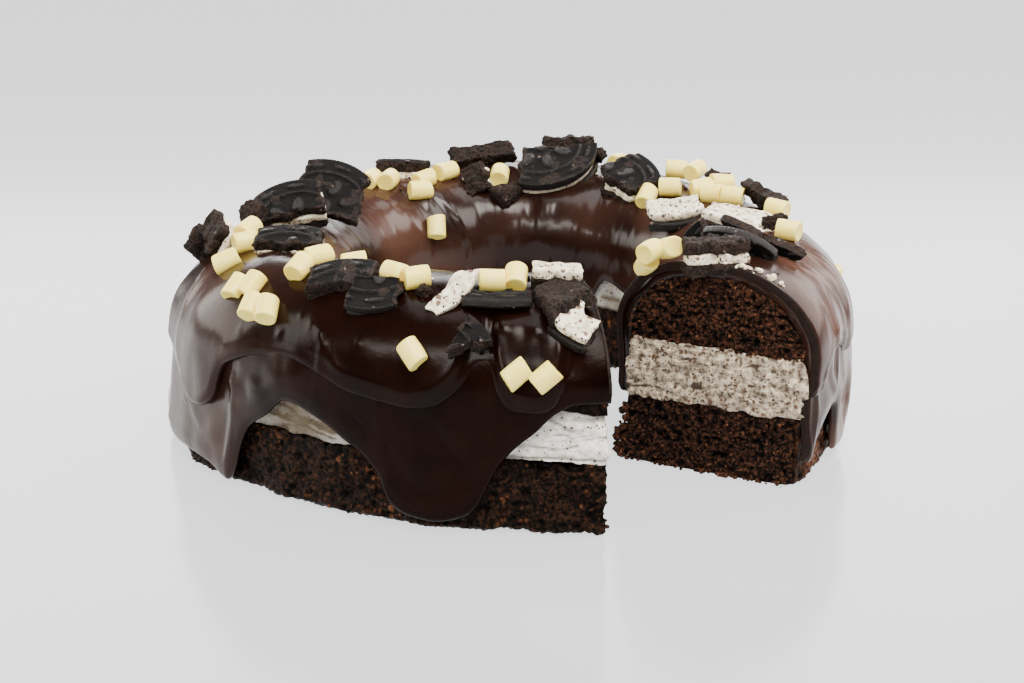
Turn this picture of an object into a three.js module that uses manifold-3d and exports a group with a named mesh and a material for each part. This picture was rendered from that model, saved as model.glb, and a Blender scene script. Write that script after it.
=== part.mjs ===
// Chocolate cookie ring cake with one slice cut out of it.
//
// A ring sponge, baked in a tube tin and split in two, is filled with cookie cream and poured over
// with thick dark chocolate. Broken sandwich cookies and white chocolate barrels stand on the crest.
//
// Millimetres, +Z up. The cake stands on z = 0, with the origin under the middle of its box.
// Places on the ring are given as an angle round the hole in degrees, a distance from the hole's
// axis and a height. 0 degrees is +X, and -90 degrees is the side that faces the reader.

import * as THREE from 'three';
import { mergeVertices } from 'three/addons/utils/BufferGeometryUtils.js';
import Module from 'manifold-3d';

const wasm = await Module();
wasm.setup();

// Driving sizes of the ring
const HOLE_RADIUS = 62;
const BASE_RADIUS = 118.6;
const LOWER_TOP = 24.5;
const CREAM_TOP = 44.7;
const ARCH_FOOT = 45;
const ARCH_HEIGHT = 24.3;
const ARCH_INNER_RADIUS = 63.4;
const ARCH_OUTER_RADIUS = 120.4;
const ARCH_CENTRE_RADIUS = 91;
const ARCH_SQUARENESS = 2.4;
const WALL_FOOT_RADIUS = 119.4;
const GAP = 0.3;
const STATIONS = 74;
const ARCH_STEPS = 10;

// Driving sizes of the poured chocolate
const GLAZE_TOP = 3.6;
const GLAZE_SIDE = 1.9;
const GLAZE_INNER = 3.2;
const FOLD_THICKNESS = 1.8;
const LIP_LENGTH = 3;
const LIP_ROUNDING = 0.5;
const LIP_SHARE = 0.75;
const LIP_BEAD = 1.1;
const CREST_SHARE = 0.6;

// Driving sizes of the toppings
const COOKIE_RADIUS = 22.5;
const WAFER = 4.2;
const COOKIE_CREAM = 3.2;
const SANDWICH = 2 * WAFER + COOKIE_CREAM;
const BARREL_RADIUS = 3.9;
const BARREL_LENGTH = 8.4;
const BARREL_SIDES = 7;
const BARREL_SUNK = 1.5;
const COOKIE_ARC_STEPS = 16;

// The slice that was taken out: one cut runs to the hole's axis, the other passes beside it
const LEFT_CUT_ANGLE = -76;
const RIGHT_CUT_THROUGH = { angle: -39.1, radius: 122 };
const RIGHT_CUT_DIRECTION = -27;
const LEFT_CUT_STARTS = 38;
const KNIFE_REACH = 170;
const KNIFE_HEIGHT = 130;

const radians = THREE.MathUtils.degToRad;
const clamp = THREE.MathUtils.clamp;

// A repeatable random number between -1 and 1
function randomSource(seed) {
  let state = seed;
  return () => {
    state = (state * 1664525 + 1013904223) % 4294967296;
    return (state / 4294967296) * 2 - 1;
  };
}

// A smooth hump of height 1 round an angle, fading over its width
function hump(angle, centre, width) {
  const apart = THREE.MathUtils.euclideanModulo(angle - centre + 180, 360) - 180;
  return Math.exp(-((apart / width) ** 2));
}

function smoothStep(from, to, value) {
  const t = clamp((value - from) / (to - from), 0, 1);
  return t * t * (3 - 2 * t);
}

// The value at an angle between knots of [angle, value], eased, round the full ring
function roundTheRing(knots, angle) {
  const turned = THREE.MathUtils.euclideanModulo(angle - knots[0][0], 360) + knots[0][0];
  const next = knots.findIndex(([at]) => at > turned);
  const [fromAngle, from] = next < 0 ? knots[knots.length - 1] : knots[next - 1];
  const [toAngle, to] = next < 0 ? [knots[0][0] + 360, knots[0][1]] : knots[next];
  return from + (to - from) * smoothStep(fromAngle, toAngle, turned);
}

// How far the outer wall stands out of a true circle: the cut ends splay, the front is flatter
function swell(angle, height) {
  const leftCut = 5 * hump(angle, -76, 8) * (1 - 0.55 * smoothStep(24, 56, height));
  return 4 * hump(angle, -38, 9) + leftCut - 2.5 * hump(angle, -118, 32)
    + 4.5 * hump(angle, 190, 28) + 1.2 * hump(angle, -5, 22);
}

// How far the crest rises over its height elsewhere
function rise(angle) {
  return 3.5 * hump(angle, -95, 38) - 3 * hump(angle, 25, 40) - 3.5 * hump(angle, 165, 40);
}

// How far the outer shoulder has sunk towards the hole, at both sides of the back
function slump(angle) {
  return 5 * hump(angle, 12, 38) + 9 * hump(angle, 176, 38);
}

// A point on the ring, with the swell growing from the hole outwards and the rise from mid height up
function ringPoint(angle, radius, height) {
  const outward = clamp((radius - 60) / 60, 0, 1.1);
  const upward = clamp((height - ARCH_FOOT) / 20, 0, 1);
  const sunk = slump(angle) * smoothStep(15, 62, height) * smoothStep(75, 110, radius);
  const r = radius + swell(angle, height) * outward - sunk;
  const turn = radians(angle);
  return [r * Math.cos(turn), r * Math.sin(turn), height + rise(angle) * upward];
}

// The arch over the cream: a superellipse, squarer towards the hole. Step 0 is its foot at the hole
function archPoint(step, offset = 0) {
  const turn = Math.PI * (1 - step / ARCH_STEPS);
  const towardsHole = Math.cos(turn) < 0;
  const power = towardsHole ? 2 / ARCH_SQUARENESS : 1;
  const halfWidth = towardsHole
    ? ARCH_CENTRE_RADIUS - ARCH_INNER_RADIUS : ARCH_OUTER_RADIUS - ARCH_CENTRE_RADIUS;
  const across = Math.sign(Math.cos(turn)) * Math.abs(Math.cos(turn)) ** power;
  const up = Math.sin(turn) ** power;
  return [ARCH_CENTRE_RADIUS + across * (halfWidth + offset), ARCH_FOOT + up * (ARCH_HEIGHT + offset)];
}

// The straight walls under the arch's feet
function holeWall(height) {
  const t = clamp(height / ARCH_FOOT, 0, 1);
  return THREE.MathUtils.lerp(HOLE_RADIUS, ARCH_INNER_RADIUS, t);
}

function outerWall(height) {
  const t = clamp(height / ARCH_FOOT, 0, 1);
  return THREE.MathUtils.lerp(WALL_FOOT_RADIUS, ARCH_OUTER_RADIUS, t);
}

// A full ring whose section at each angle is a closed outline of [radius, height], anticlockwise
function ringGeometry(outlineAt) {
  const positions = [];
  const triangles = [];
  let count = 0;
  for (let i = 0; i < STATIONS; i += 1) {
    const angle = (360 * i) / STATIONS;
    const outline = outlineAt(angle);
    count = outline.length;
    outline.forEach(([radius, height]) => positions.push(...ringPoint(angle, radius, height)));
  }
  for (let i = 0; i < STATIONS; i += 1) {
    for (let j = 0; j < count; j += 1) {
      const here = i * count;
      const there = ((i + 1) % STATIONS) * count;
      const up = (j + 1) % count;
      triangles.push(here + j, there + j, there + up, here + j, there + up, here + up);
    }
  }
  const geometry = new THREE.BufferGeometry();
  geometry.setAttribute('position', new THREE.Float32BufferAttribute(positions, 3));
  geometry.setIndex(triangles);
  return geometry;
}

// Crust and crumb: a few slow waves of a wall in and out, different at each height
function waver(angle, height, reach, seed) {
  const turn = radians(angle);
  const waves = Math.sin(17 * turn + seed + height * 0.21) + Math.sin(29 * turn - 2 * seed + height * 0.33)
    + Math.sin(43 * turn + 3 * seed - height * 0.4);
  return (reach * waves) / 3;
}

function lowerSpongeOutline(angle) {
  const inner = HOLE_RADIUS + 0.5;
  const crust = (height) => BASE_RADIUS - 0.4 + waver(angle, height, 0.9, 1);
  const flake = 4 * hump(angle, -153, 7);
  return [
    [inner + 3.5, 0], [BASE_RADIUS - 6, 0], [BASE_RADIUS - 1.4 + flake, 1.6], [crust(5), 5],
    [crust(12), 12], [crust(19), 19], [crust(LOWER_TOP) - 0.4, LOWER_TOP],
    [inner + 0.6, LOWER_TOP], [inner + 0.3 + waver(angle, 16, 0.4, 4), 16],
    [inner + waver(angle, 8, 0.4, 4), 8], [inner + 1, 2],
  ];
}

function creamOutline(angle) {
  const floor = LOWER_TOP + GAP;
  const outer = (height) => outerWall(height) - 1.2 + waver(angle, height, 0.9, 7);
  const inner = (height) => holeWall(height) + 0.6 + waver(angle, height, 0.4, 9);
  return [
    [inner(25) + 0.6, floor], [outer(25) - 0.8, floor], [outer(31), 31], [outer(38), 38],
    [outer(44) - 0.6, CREAM_TOP], [inner(44) + 0.6, CREAM_TOP], [inner(38), 38], [inner(31), 31],
  ];
}

function upperSpongeOutline() {
  const arch = [];
  for (let step = ARCH_STEPS; step >= 0; step -= 1) arch.push(archPoint(step));
  return arch;
}

// The lower edge of the chocolate outside, as [angle, height]: drips, tongues and bare gaps
const OUTER_EDGE = [
  [-164, 3], [-156, 4.6], [-149, 4.6], [-143, 1.6], [-140, 13], [-137, 24], [-128, 37.5], [-121, 33],
  [-115, 26], [-112, 19], [-109.5, 9], [-106, 5.5], [-102, 4.3], [-97.5, 7], [-94.5, 16], [-92, 25],
  [-87, 36], [-83, 45.5], [-76, 45.8], [-50, 30], [-37, 9.5], [-33, 19], [-28, 23], [-24.5, 4],
  [-19, 3], [-12, 20], [-3, 30], [6, 12], [14, 8], [22, 26], [34, 34], [42, 14], [50, 5], [58, 22],
  [70, 36], [82, 30], [90, 9], [98, 6], [106, 27], [120, 38], [132, 22], [140, 6], [148, 12],
  [158, 31], [170, 24], [180, 8], [188, 3.5],
];

// The lower edge of the chocolate inside the hole
const HOLE_EDGE = [
  [-170, 20], [-150, 8], [-132, 26], [-112, 30], [-92, 16], [-76, 22], [-52, 25], [-38, 14], [-20, 6],
  [-4, 24], [16, 31], [34, 29], [46, 34], [54, 37], [60, 28], [68, 14], [80, 5], [94, 12], [108, 30],
  [126, 9], [146, 27], [170, 12],
];

// Where the thicker second pouring stops on the outside
const FOLD_EDGE = [
  [-176, 40], [-165, 36], [-151, 24], [-147, 31], [-142, 45], [-133, 56], [-126, 62], [-116, 52],
  [-110, 45], [-104, 43.5], [-98, 50], [-92.5, 46.5], [-87, 43.5], [-82, 52], [-76, 60], [-60, 50], [-38, 33],
  [-30, 46], [-20, 38], [-8, 52], [10, 44], [30, 55], [52, 40], [75, 54], [95, 38], [118, 53], [140, 40],
  [160, 50],
];

// Thickness of the chocolate at a height on the outside, with the second pouring laid over the first
function outerThickness(angle, height) {
  const shoulder = THREE.MathUtils.lerp(GLAZE_SIDE, GLAZE_TOP, smoothStep(30, 66, height));
  const fold = roundTheRing(FOLD_EDGE, angle);
  const edge = roundTheRing(OUTER_EDGE, angle);
  const bead = LIP_BEAD * Math.exp(-(((height - edge - 5) / 5) ** 2));
  return shoulder + FOLD_THICKNESS * smoothStep(fold - 1, fold + 2.5, height) + bead;
}

// The chocolate's section: round the lip in the hole, over the arch, down to the outer lip and back
function glazeOutline(angle) {
  const low = roundTheRing(OUTER_EDGE, angle);
  const lowInside = roundTheRing(HOLE_EDGE, angle);
  const outline = [];
  const backOut = (height) => [outerWall(height) + GAP, height];
  const backIn = (height) => [holeWall(height) - GAP, height];
  const frontOut = (height, share) => {
    return [outerWall(height) + GAP + outerThickness(angle, height) * share, height];
  };
  const frontIn = (height, share) => [holeWall(height) - GAP - GLAZE_INNER * share, height];

  outline.push(backOut(low), frontOut(low + LIP_ROUNDING, LIP_SHARE), frontOut(low + LIP_LENGTH, 1));
  const middle = (low + LIP_LENGTH + ARCH_FOOT + 2) / 2;
  outline.push(frontOut(Math.min(middle, ARCH_FOOT + 1), 1));
  for (let step = ARCH_STEPS - 1; step >= 1; step -= 1) {
    const [, height] = archPoint(step);
    const outside = step > ARCH_STEPS / 2;
    const thickness = outside ? outerThickness(angle, height) : GLAZE_TOP + FOLD_THICKNESS * CREST_SHARE;
    outline.push(archPoint(step, GAP + thickness));
  }
  outline.push(frontIn((ARCH_FOOT + lowInside) / 2, 1), frontIn(lowInside + LIP_LENGTH, 1));
  outline.push(frontIn(lowInside + LIP_ROUNDING, LIP_SHARE), backIn(lowInside));
  for (let step = 0; step <= ARCH_STEPS; step += 1) outline.push(archPoint(step, GAP));
  outline.push(backOut((ARCH_FOOT + low) / 2));
  return outline;
}

// The space that toppings can't sink into: the dome with its chocolate on, and a gap more
function domeOutline(angle) {
  const outline = [[HOLE_RADIUS - 5, 0]];
  [0, 15, 30].forEach((height) => {
    outline.push([outerWall(height) + 2 * GAP + outerThickness(angle, height), height]);
  });
  for (let step = ARCH_STEPS; step >= 0; step -= 1) {
    const [, height] = archPoint(step);
    const outside = step > ARCH_STEPS / 2;
    const thickness = outside ? outerThickness(angle, height) : GLAZE_TOP + FOLD_THICKNESS * CREST_SHARE;
    outline.push(archPoint(step, GAP + thickness + GAP));
  }
  return outline;
}

// The prism of air between the two cuts
function sliceGeometry() {
  const onRing = (angle, radius) => new THREE.Vector2(radius, 0).rotateAround(new THREE.Vector2(), radians(angle));
  const along = new THREE.Vector2(1, 0).rotateAround(new THREE.Vector2(), radians(RIGHT_CUT_DIRECTION));
  const through = onRing(RIGHT_CUT_THROUGH.angle, RIGHT_CUT_THROUGH.radius);
  const rightOuter = through.clone().addScaledVector(along, KNIFE_REACH / 4);
  const rightInner = through.clone().addScaledVector(along, -KNIFE_REACH / 2);
  const plan = new THREE.Shape([
    onRing(LEFT_CUT_ANGLE, LEFT_CUT_STARTS), onRing(LEFT_CUT_ANGLE, KNIFE_REACH),
    onRing((LEFT_CUT_ANGLE + RIGHT_CUT_THROUGH.angle) / 2, KNIFE_REACH * 1.1), rightOuter, rightInner,
  ]);
  const prism = new THREE.ExtrudeGeometry(plan, { depth: KNIFE_HEIGHT, bevelEnabled: false });
  return prism.translate(0, 0, -KNIFE_HEIGHT / 10);
}

// A closed geometry as a solid that can be cut and joined
function solidFrom(geometry) {
  const bare = geometry.clone();
  bare.deleteAttribute('normal');
  bare.deleteAttribute('uv');
  const merged = mergeVertices(bare, 1e-4);
  return new wasm.Manifold(new wasm.Mesh({
    numProp: 3,
    vertProperties: new Float32Array(merged.attributes.position.array),
    triVerts: new Uint32Array(merged.index.array),
  }));
}

// The largest single body of a solid, without the scraps that a cut left
function largestBody(solid) {
  const bodies = solid.decompose();
  return bodies.reduce((best, body) => (body.volume() > best.volume() ? body : best));
}

function meshFrom(name, solid, material) {
  const { vertProperties, triVerts } = solid.getMesh();
  const geometry = new THREE.BufferGeometry();
  geometry.setAttribute('position', new THREE.Float32BufferAttribute(vertProperties, 3));
  geometry.setIndex(Array.from(triVerts));
  const mesh = new THREE.Mesh(geometry, material);
  mesh.name = name;
  return mesh;
}

// A round cookie's outline, snapped along straight breaks. Each break is [direction of the lost part,
// distance of the break from the cookie's middle]. The result is centred on its own middle
function brokenOutline(breaks, seed, grow) {
  const random = randomSource(seed);
  let outline = [];
  for (let i = 0; i < COOKIE_ARC_STEPS; i += 1) {
    const turn = (2 * Math.PI * i) / COOKIE_ARC_STEPS;
    outline.push(new THREE.Vector2(Math.cos(turn), Math.sin(turn)).multiplyScalar(COOKIE_RADIUS + grow));
  }
  breaks.forEach(([direction, distance]) => {
    const away = new THREE.Vector2(Math.cos(radians(direction)), Math.sin(radians(direction)));
    const kept = [];
    outline.forEach((point, i) => {
      const next = outline[(i + 1) % outline.length];
      const depth = distance + grow - point.dot(away);
      const nextDepth = distance + grow - next.dot(away);
      if (depth >= 0) kept.push(point);
      if (depth * nextDepth < 0) {
        const crossing = point.clone().lerp(next, depth / (depth - nextDepth));
        kept.push(crossing);
        if (depth > 0) kept.push(null);
      }
    });
    outline = raggedBreak(kept, away, random);
  });
  const middle = outline.reduce((sum, point) => sum.add(point), new THREE.Vector2());
  middle.divideScalar(outline.length);
  return outline.map((point) => point.clone().sub(middle));
}

// Fills the marked place in an outline with one point that sits a little in or out of the straight break
function raggedBreak(kept, away, random) {
  const filled = [];
  kept.forEach((point, i) => {
    if (point) {
      filled.push(point);
      return;
    }
    const before = kept[i - 1];
    const after = kept[(i + 1) % kept.length] ?? kept[0];
    filled.push(before.clone().lerp(after, 0.5 + 0.12 * random()).addScaledVector(away, -0.6 + 0.6 * random()));
  });
  return filled;
}

// A broken cookie piece: its outline carried through its thickness, lying flat round its middle
function cookieGeometry(piece, grow) {
  const shape = new THREE.Shape(brokenOutline(piece.breaks, piece.seed, grow));
  const depth = piece.thickness + 2 * grow;
  return new THREE.ExtrudeGeometry(shape, { depth, bevelEnabled: false }).translate(0, 0, -depth / 2);
}

// A crumbly lump: a ball with uneven faces, stretched to its size
function lumpGeometry(piece, grow) {
  const random = randomSource(piece.seed);
  const geometry = mergeVertices(new THREE.DodecahedronGeometry(1, 0).deleteAttribute('normal')
    .deleteAttribute('uv'));
  const position = geometry.attributes.position;
  for (let i = 0; i < position.count; i += 1) {
    const reach = 0.5 + 0.07 * random();
    position.setXYZ(
      i,
      position.getX(i) * (piece.size[0] * reach + grow),
      position.getY(i) * (piece.size[1] * reach + grow),
      position.getZ(i) * (piece.size[2] * reach + grow),
    );
  }
  return geometry;
}

// Turns a flat piece: spun in its plane, then leant so that its face looks towards a direction
function settingMatrix({ at: [angle, radius, lift], lean = 0, towards = -90, spin = 0 }) {
  const turn = new THREE.Matrix4().makeRotationZ(radians(towards));
  turn.multiply(new THREE.Matrix4().makeRotationY(radians(lean)));
  turn.multiply(new THREE.Matrix4().makeRotationZ(radians(spin - towards)));
  const [x, y] = [radius * Math.cos(radians(angle)), radius * Math.sin(radians(angle))];
  return turn.setPosition(x, y, domeAt(angle, radius).height + lift);
}

// Broken cookies and crumbs. at is [angle, distance from the hole's axis, lift over the chocolate] of the
// piece's middle
const COOKIES = [
  { name: 'crumb_far_left', size: [14, 11, 16], at: [-172, 112, 5], lean: 20, towards: 200, seed: 3 },
  { name: 'ridged_piece_left', breaks: [[-90, -8], [180, 6], [0, 4.5]], thickness: WAFER + COOKIE_CREAM,
    at: [-166, 107, 7.4], lean: 62, towards: -150, spin: 8, seed: 5 },
  { name: 'crumb_left_back', size: [12, 10, 11], at: [-179.5, 96, 5.5], seed: 7 },
  { name: 'half_cookie_left', breaks: [[-90, -5], [0, 12], [180, 14]], thickness: SANDWICH,
    at: [172, 83, 5.5], lean: 36, towards: -100, spin: 10, seed: 11 },
  { name: 'big_wafer_left', breaks: [[-90, 4], [180, 12], [0, 14]], thickness: WAFER,
    at: [157, 74.6, 10.8], lean: 40, towards: -80, spin: -10, seed: 13 },
  { name: 'sandwich_left_front', breaks: [[-90, -9], [180, 12], [0, 13]], thickness: WAFER + COOKIE_CREAM,
    at: [-153, 87, 3], lean: 16, towards: -95, spin: -4, seed: 17 },
  { name: 'wafer_behind_left', breaks: [[-90, -9], [0, 11], [180, 11]], thickness: WAFER + COOKIE_CREAM,
    at: [120, 89, 2], lean: 6, towards: 80, spin: -4, seed: 19 },
  { name: 'pile_front_left', breaks: [[-90, -8], [180, 13], [0, 11]], thickness: 8.4,
    at: [-123, 101, 0.4], lean: 24, towards: -115, spin: -10, seed: 23 },
  { name: 'pile_front_right', breaks: [[90, -8], [0, 10], [180, 8]], thickness: 7.4,
    at: [-114, 107, 0], lean: 34, towards: -108, spin: -14, seed: 29 },
  { name: 'crumb_front', size: [7, 6, 6], at: [-106, 104, 1], seed: 31 },
  { name: 'cream_flake_front', breaks: [[90, -12.5], [45, -5], [180, 11]], thickness: 2.8,
    at: [-100, 107, 3], lean: 52, towards: -108, spin: 40, seed: 37 },
  { name: 'wafer_front_edge', breaks: [[90, -9], [180, 11.5], [0, 11.5]], thickness: WAFER,
    at: [-92.5, 107, 0.8], lean: -4, towards: -90, spin: -4, seed: 41 },
  { name: 'triangle_front_slope', breaks: [[-78, -2], [150, -3]], thickness: 5.6,
    at: [-96.3, 118.2, 2.4], lean: 42, towards: -97, spin: 0, seed: 43 },
  { name: 'cream_top_front_right', breaks: [[-90, 1], [0, 8], [180, 9], [90, 7]],
    thickness: WAFER + COOKIE_CREAM, at: [-82.5, 99, 3.6], lean: 12, towards: -85, spin: -3, seed: 47 },
  { name: 'cream_chunk_at_cut', breaks: [[90, -7.5], [180, 8], [0, 6]], thickness: WAFER + COOKIE_CREAM,
    at: [-80.3, 117.4, 1.9], lean: 42, towards: -80, spin: -28, seed: 59 },
  { name: 'slab_front_right', breaks: [[-70, -6], [180, 10], [10, 10]], thickness: 5.6,
    at: [-82.5, 109, 2.4], lean: 14, towards: -120, spin: 20, seed: 53 },
  { name: 'slab_back', breaks: [[-90, 0], [90, 8.2], [10, 14], [190, 13]], thickness: WAFER + 2,
    at: [98.3, 90, 4.2], lean: 40, towards: -95, spin: 6, seed: 61 },
  { name: 'ridged_piece_back', breaks: [[-90, -9], [180, 5], [0, 6]], thickness: WAFER + COOKIE_CREAM,
    at: [101.3, 72.5, 1], lean: 62, towards: -120, spin: 6, seed: 67 },
  { name: 'lump_back', size: [13, 12, 16], at: [92.6, 66.5, 0.6], lean: 20, towards: -90, seed: 71 },
  { name: 'round_cookie_back', breaks: [[172, 8], [90, 0.5]], thickness: SANDWICH,
    at: [76, 76.8, 2.4], lean: 30, towards: -100, spin: 0, seed: 73 },
  { name: 'slab_behind_round', breaks: [[-90, 5], [90, 9], [0, 10], [180, 11]], thickness: 7,
    at: [76, 90.5, 5.8], lean: 78, towards: -90, spin: 0, seed: 79 },
  { name: 'crumb_behind_round', size: [6, 6, 8], at: [67.5, 90, 6], seed: 83 },
  { name: 'round_cookie_right', breaks: [[-133, -1], [120, 8.9], [180, 0.7], [-65, 11]], thickness: SANDWICH,
    at: [54, 77.2, 2.6], lean: 25, towards: -90, spin: 0, seed: 89 },
  { name: 'cream_face_right', breaks: [[90, -7], [180, 10.5], [0, 11]],
    thickness: WAFER + COOKIE_CREAM, at: [25.5, 68, 3.6], lean: 18, towards: -110, spin: 4, seed: 97 },
  { name: 'wafer_end_back_right', breaks: [[-90, -6], [90, 13], [0, 6], [180, 7]], thickness: WAFER,
    at: [35.6, 98.5, 4.6], lean: 60, towards: 35, spin: 125, seed: 99 },
  { name: 'long_wafer_back_right', breaks: [[90, -12], [0, 16]], thickness: WAFER,
    at: [18, 98, 5], lean: 68, towards: 20, spin: 112, seed: 101 },
  { name: 'cream_face_far_right', breaks: [[-110, 2], [170, 8], [90, 13]], thickness: WAFER + COOKIE_CREAM,
    at: [-1, 84, 0.5], lean: 12, towards: -60, spin: -14, seed: 103 },
  { name: 'small_curved_wafer', breaks: [[-90, -12], [0, 5], [180, 6]], thickness: WAFER,
    at: [-18.5, 70, 4.4], lean: 98, towards: -120, spin: 16, seed: 107 },
  { name: 'curved_wafer_on_edge', breaks: [[-90, -9], [180, 13], [0, 15]], thickness: WAFER,
    at: [-31.3, 89.5, 2.6], lean: 120, towards: -118, spin: -40, seed: 109 },
  { name: 'long_wafer_on_edge', breaks: [[90, -14], [180, 17], [0, 16]], thickness: WAFER,
    at: [-26.2, 95, 4], lean: 112, towards: -112, spin: -46, seed: 113 },
  { name: 'crumb_far_right', size: [11, 7, 6.5], at: [-6.1, 93.3, 3], seed: 127 },
  { name: 'sandwich_at_cut', breaks: [[-90, -9], [180, 11], [0, 12]], thickness: SANDWICH,
    at: [-40.6, 88.5, 1.9], lean: -4, towards: -60, spin: 3, seed: 131 },
];

// White chocolate barrels, touching ones as one group. Each is [angle, distance, heading of its length
// seen from above, lift over the chocolate, how far its far end is raised]
const BARRELS = {
  barrels_left_back: [[-164.7, 96.3, 58, 2.5, 10], [-159.9, 99.1, 14, 0, 0]],
  barrel_left_edge: [[-154.7, 107.7, 8, 0, 0]],
  barrels_left_high: [[-134.3, 100.4, 60, 0, 0], [-135.1, 92, 30, 0.5, 0]],
  barrels_left_slope: [[-143.7, 113, 52, 0, 0], [-136.8, 116.3, 66, 0, 0], [-140.4, 111.1, 44, 0, 0],
    [-133.1, 116, 84, 0, 0]],
  barrels_back_left: [[132, 84.5, 75, 0, 0], [128, 80, 75, 0, 0]],
  barrels_back: [[118, 76, 45, 0, 0], [122, 70.5, 25, 0, 0]],
  barrel_back_mid: [[110, 79, 40, 0, 0]],
  barrel_in_hole_side: [[121, 60.5, 95, 0, 0]],
  barrel_behind_pile: [[-125, 91.4, 20, 0, 0]],
  barrels_front_left: [[-113, 97.4, -40, 0, 0], [-108.1, 99.7, 22, 0, 0]],
  barrel_front_slope_left: [[-105.1, 119.7, -42, 0, 0]],
  barrel_front_slope_mid: [[-89.7, 123, 20, 0.6, 0]],
  barrel_front_slope_right: [[-85.7, 123.8, 12, 0.6, 0]],
  barrels_front: [[-94, 100.2, -4, 0, 0], [-89.7, 98.6, 86, 0.5, 24]],
  barrel_back_end: [[94.4, 74.2, -95, 0.5, 8]],
  barrel_back_right: [[65, 99, 70, 0, 0]],
  barrels_right_back: [[47.7, 95.2, -12, 2.4, 0], [43, 97, 60, 3.2, 10]],
  barrels_right_inner: [[44.1, 72.7, 62, 0, 10], [40.8, 80.2, -18, 0.6, 0]],
  barrels_right_heap: [[33.5, 87.1, 20, 0.8, 0], [28.1, 86.4, -25, 0.5, 0], [32.1, 94.4, 8, 2.2, 0],
    [23.2, 90.2, -16, 0.5, 0]],
  barrel_far_right: [[5.7, 96.9, -35, 1.8, 0]],
  barrel_far_right_edge: [[-13.1, 98.9, -20, 1, 0]],
  barrels_at_cut: [[-50.9, 74.5, 55, 3, 10], [-45.2, 76.3, -62, 3, 0], [-47.8, 68.8, -72, 0, 0]],
};

// Barrels stuck on the steep side: [angle, height, how far the length leans off upright]
const SIDE_BARRELS = {
  barrel_right_side_high: [12.5, 45.5, 12],
  barrel_right_side_low: [6, 34.5, -8],
};

// The outer face of the dome's chocolate nearest a distance from the hole's axis: its height and slope
function domeAt(angle, distance) {
  const outline = domeOutline(angle).slice(4).map(([radius, height]) => {
    const [x, y, z] = ringPoint(angle, radius, height);
    return [Math.hypot(x, y), z];
  });
  for (let i = 0; i + 1 < outline.length; i += 1) {
    const [[outerR, outerZ], [innerR, innerZ]] = [outline[i], outline[i + 1]];
    if (distance <= outerR && distance >= innerR && outerR > innerR) {
      const t = (distance - innerR) / (outerR - innerR);
      return { height: innerZ + t * (outerZ - innerZ), slope: (outerZ - innerZ) / (outerR - innerR) };
    }
  }
  throw new Error(`nothing of the dome at ${angle} degrees, ${distance} mm`);
}

// A barrel lying on the chocolate, its length along a heading
function barrelGeometry([angle, distance, heading, lift, raised], grow) {
  const radius = BARREL_RADIUS + grow;
  const length = BARREL_LENGTH + 2 * grow;
  const geometry = new THREE.CylinderGeometry(radius, radius, length, BARREL_SIDES);
  const { height, slope } = domeAt(angle, distance);
  const outward = new THREE.Vector3(Math.cos(radians(angle)), Math.sin(radians(angle)), 0);
  const normal = outward.clone().multiplyScalar(-slope).setZ(1).normalize();
  const along = new THREE.Vector3(Math.cos(radians(heading)), Math.sin(radians(heading)), 0);
  along.z = -along.dot(normal) / normal.z;
  along.normalize().applyAxisAngle(new THREE.Vector3().crossVectors(along, normal).normalize(), radians(raised));
  const side = new THREE.Vector3().crossVectors(normal, along).normalize();
  const upright = new THREE.Vector3().crossVectors(along, side);
  const middle = outward.multiplyScalar(distance).setZ(height)
    .addScaledVector(normal, BARREL_RADIUS - BARREL_SUNK + lift);
  return geometry.applyMatrix4(new THREE.Matrix4().makeBasis(side, along, upright.negate()).setPosition(middle));
}

// A barrel stuck on the steep side of the chocolate
function sideBarrelGeometry([angle, height, leans], grow) {
  const radius = BARREL_RADIUS + grow;
  const geometry = new THREE.CylinderGeometry(radius, radius, BARREL_LENGTH + 2 * grow, BARREL_SIDES);
  const away = outerWall(height) + GAP + outerThickness(angle, height) + BARREL_RADIUS - BARREL_SUNK;
  geometry.rotateX(radians(90 + leans)).rotateZ(radians(angle));
  return geometry.translate(...ringPoint(angle, away, height));
}

const materials = {
  lower_sponge: new THREE.MeshStandardMaterial({ color: 0x2b1a12, roughness: 0.9 }),
  cream: new THREE.MeshStandardMaterial({ color: 0xcfcbc2, roughness: 0.6 }),
  upper_sponge: new THREE.MeshStandardMaterial({ color: 0x2e1c13, roughness: 0.9 }),
  glaze: new THREE.MeshStandardMaterial({ color: 0x2a1711, roughness: 0.2 }),
  wafer: new THREE.MeshStandardMaterial({ color: 0x1b1716, roughness: 0.7 }),
  cookie_cream: new THREE.MeshStandardMaterial({ color: 0xe6e0cf, roughness: 0.6 }),
  white_chocolate: new THREE.MeshStandardMaterial({ color: 0xf0e6b8, roughness: 0.4 }),
};

const cake = new THREE.Group();
const slice = solidFrom(sliceGeometry());

// The four layers, each cut by the same knife
function addLayer(name, outlineAt, material) {
  const solid = solidFrom(ringGeometry(outlineAt)).subtract(slice);
  cake.add(meshFrom(name, largestBody(solid), material));
}

addLayer('lower_sponge', lowerSpongeOutline, materials.lower_sponge);
addLayer('cream_filling', creamOutline, materials.cream);
addLayer('upper_sponge', upperSpongeOutline, materials.upper_sponge);
addLayer('chocolate_glaze', glazeOutline, materials.glaze);

// Each topping is trimmed to the chocolate under it and to the toppings that were laid before it
const dome = solidFrom(ringGeometry(domeOutline)).subtract(slice);
const laid = [];

function boxesMeet(one, other) {
  return [0, 1, 2].every((axis) => one.min[axis] <= other.max[axis] && other.min[axis] <= one.max[axis]);
}

function addTopping(name, solid, grown, material) {
  let trimmed = solid.subtract(dome);
  laid.forEach((other) => {
    if (boxesMeet(trimmed.boundingBox(), other.boundingBox())) trimmed = trimmed.subtract(other);
  });
  cake.add(meshFrom(name, largestBody(trimmed), material));
  laid.push(grown);
}

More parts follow.
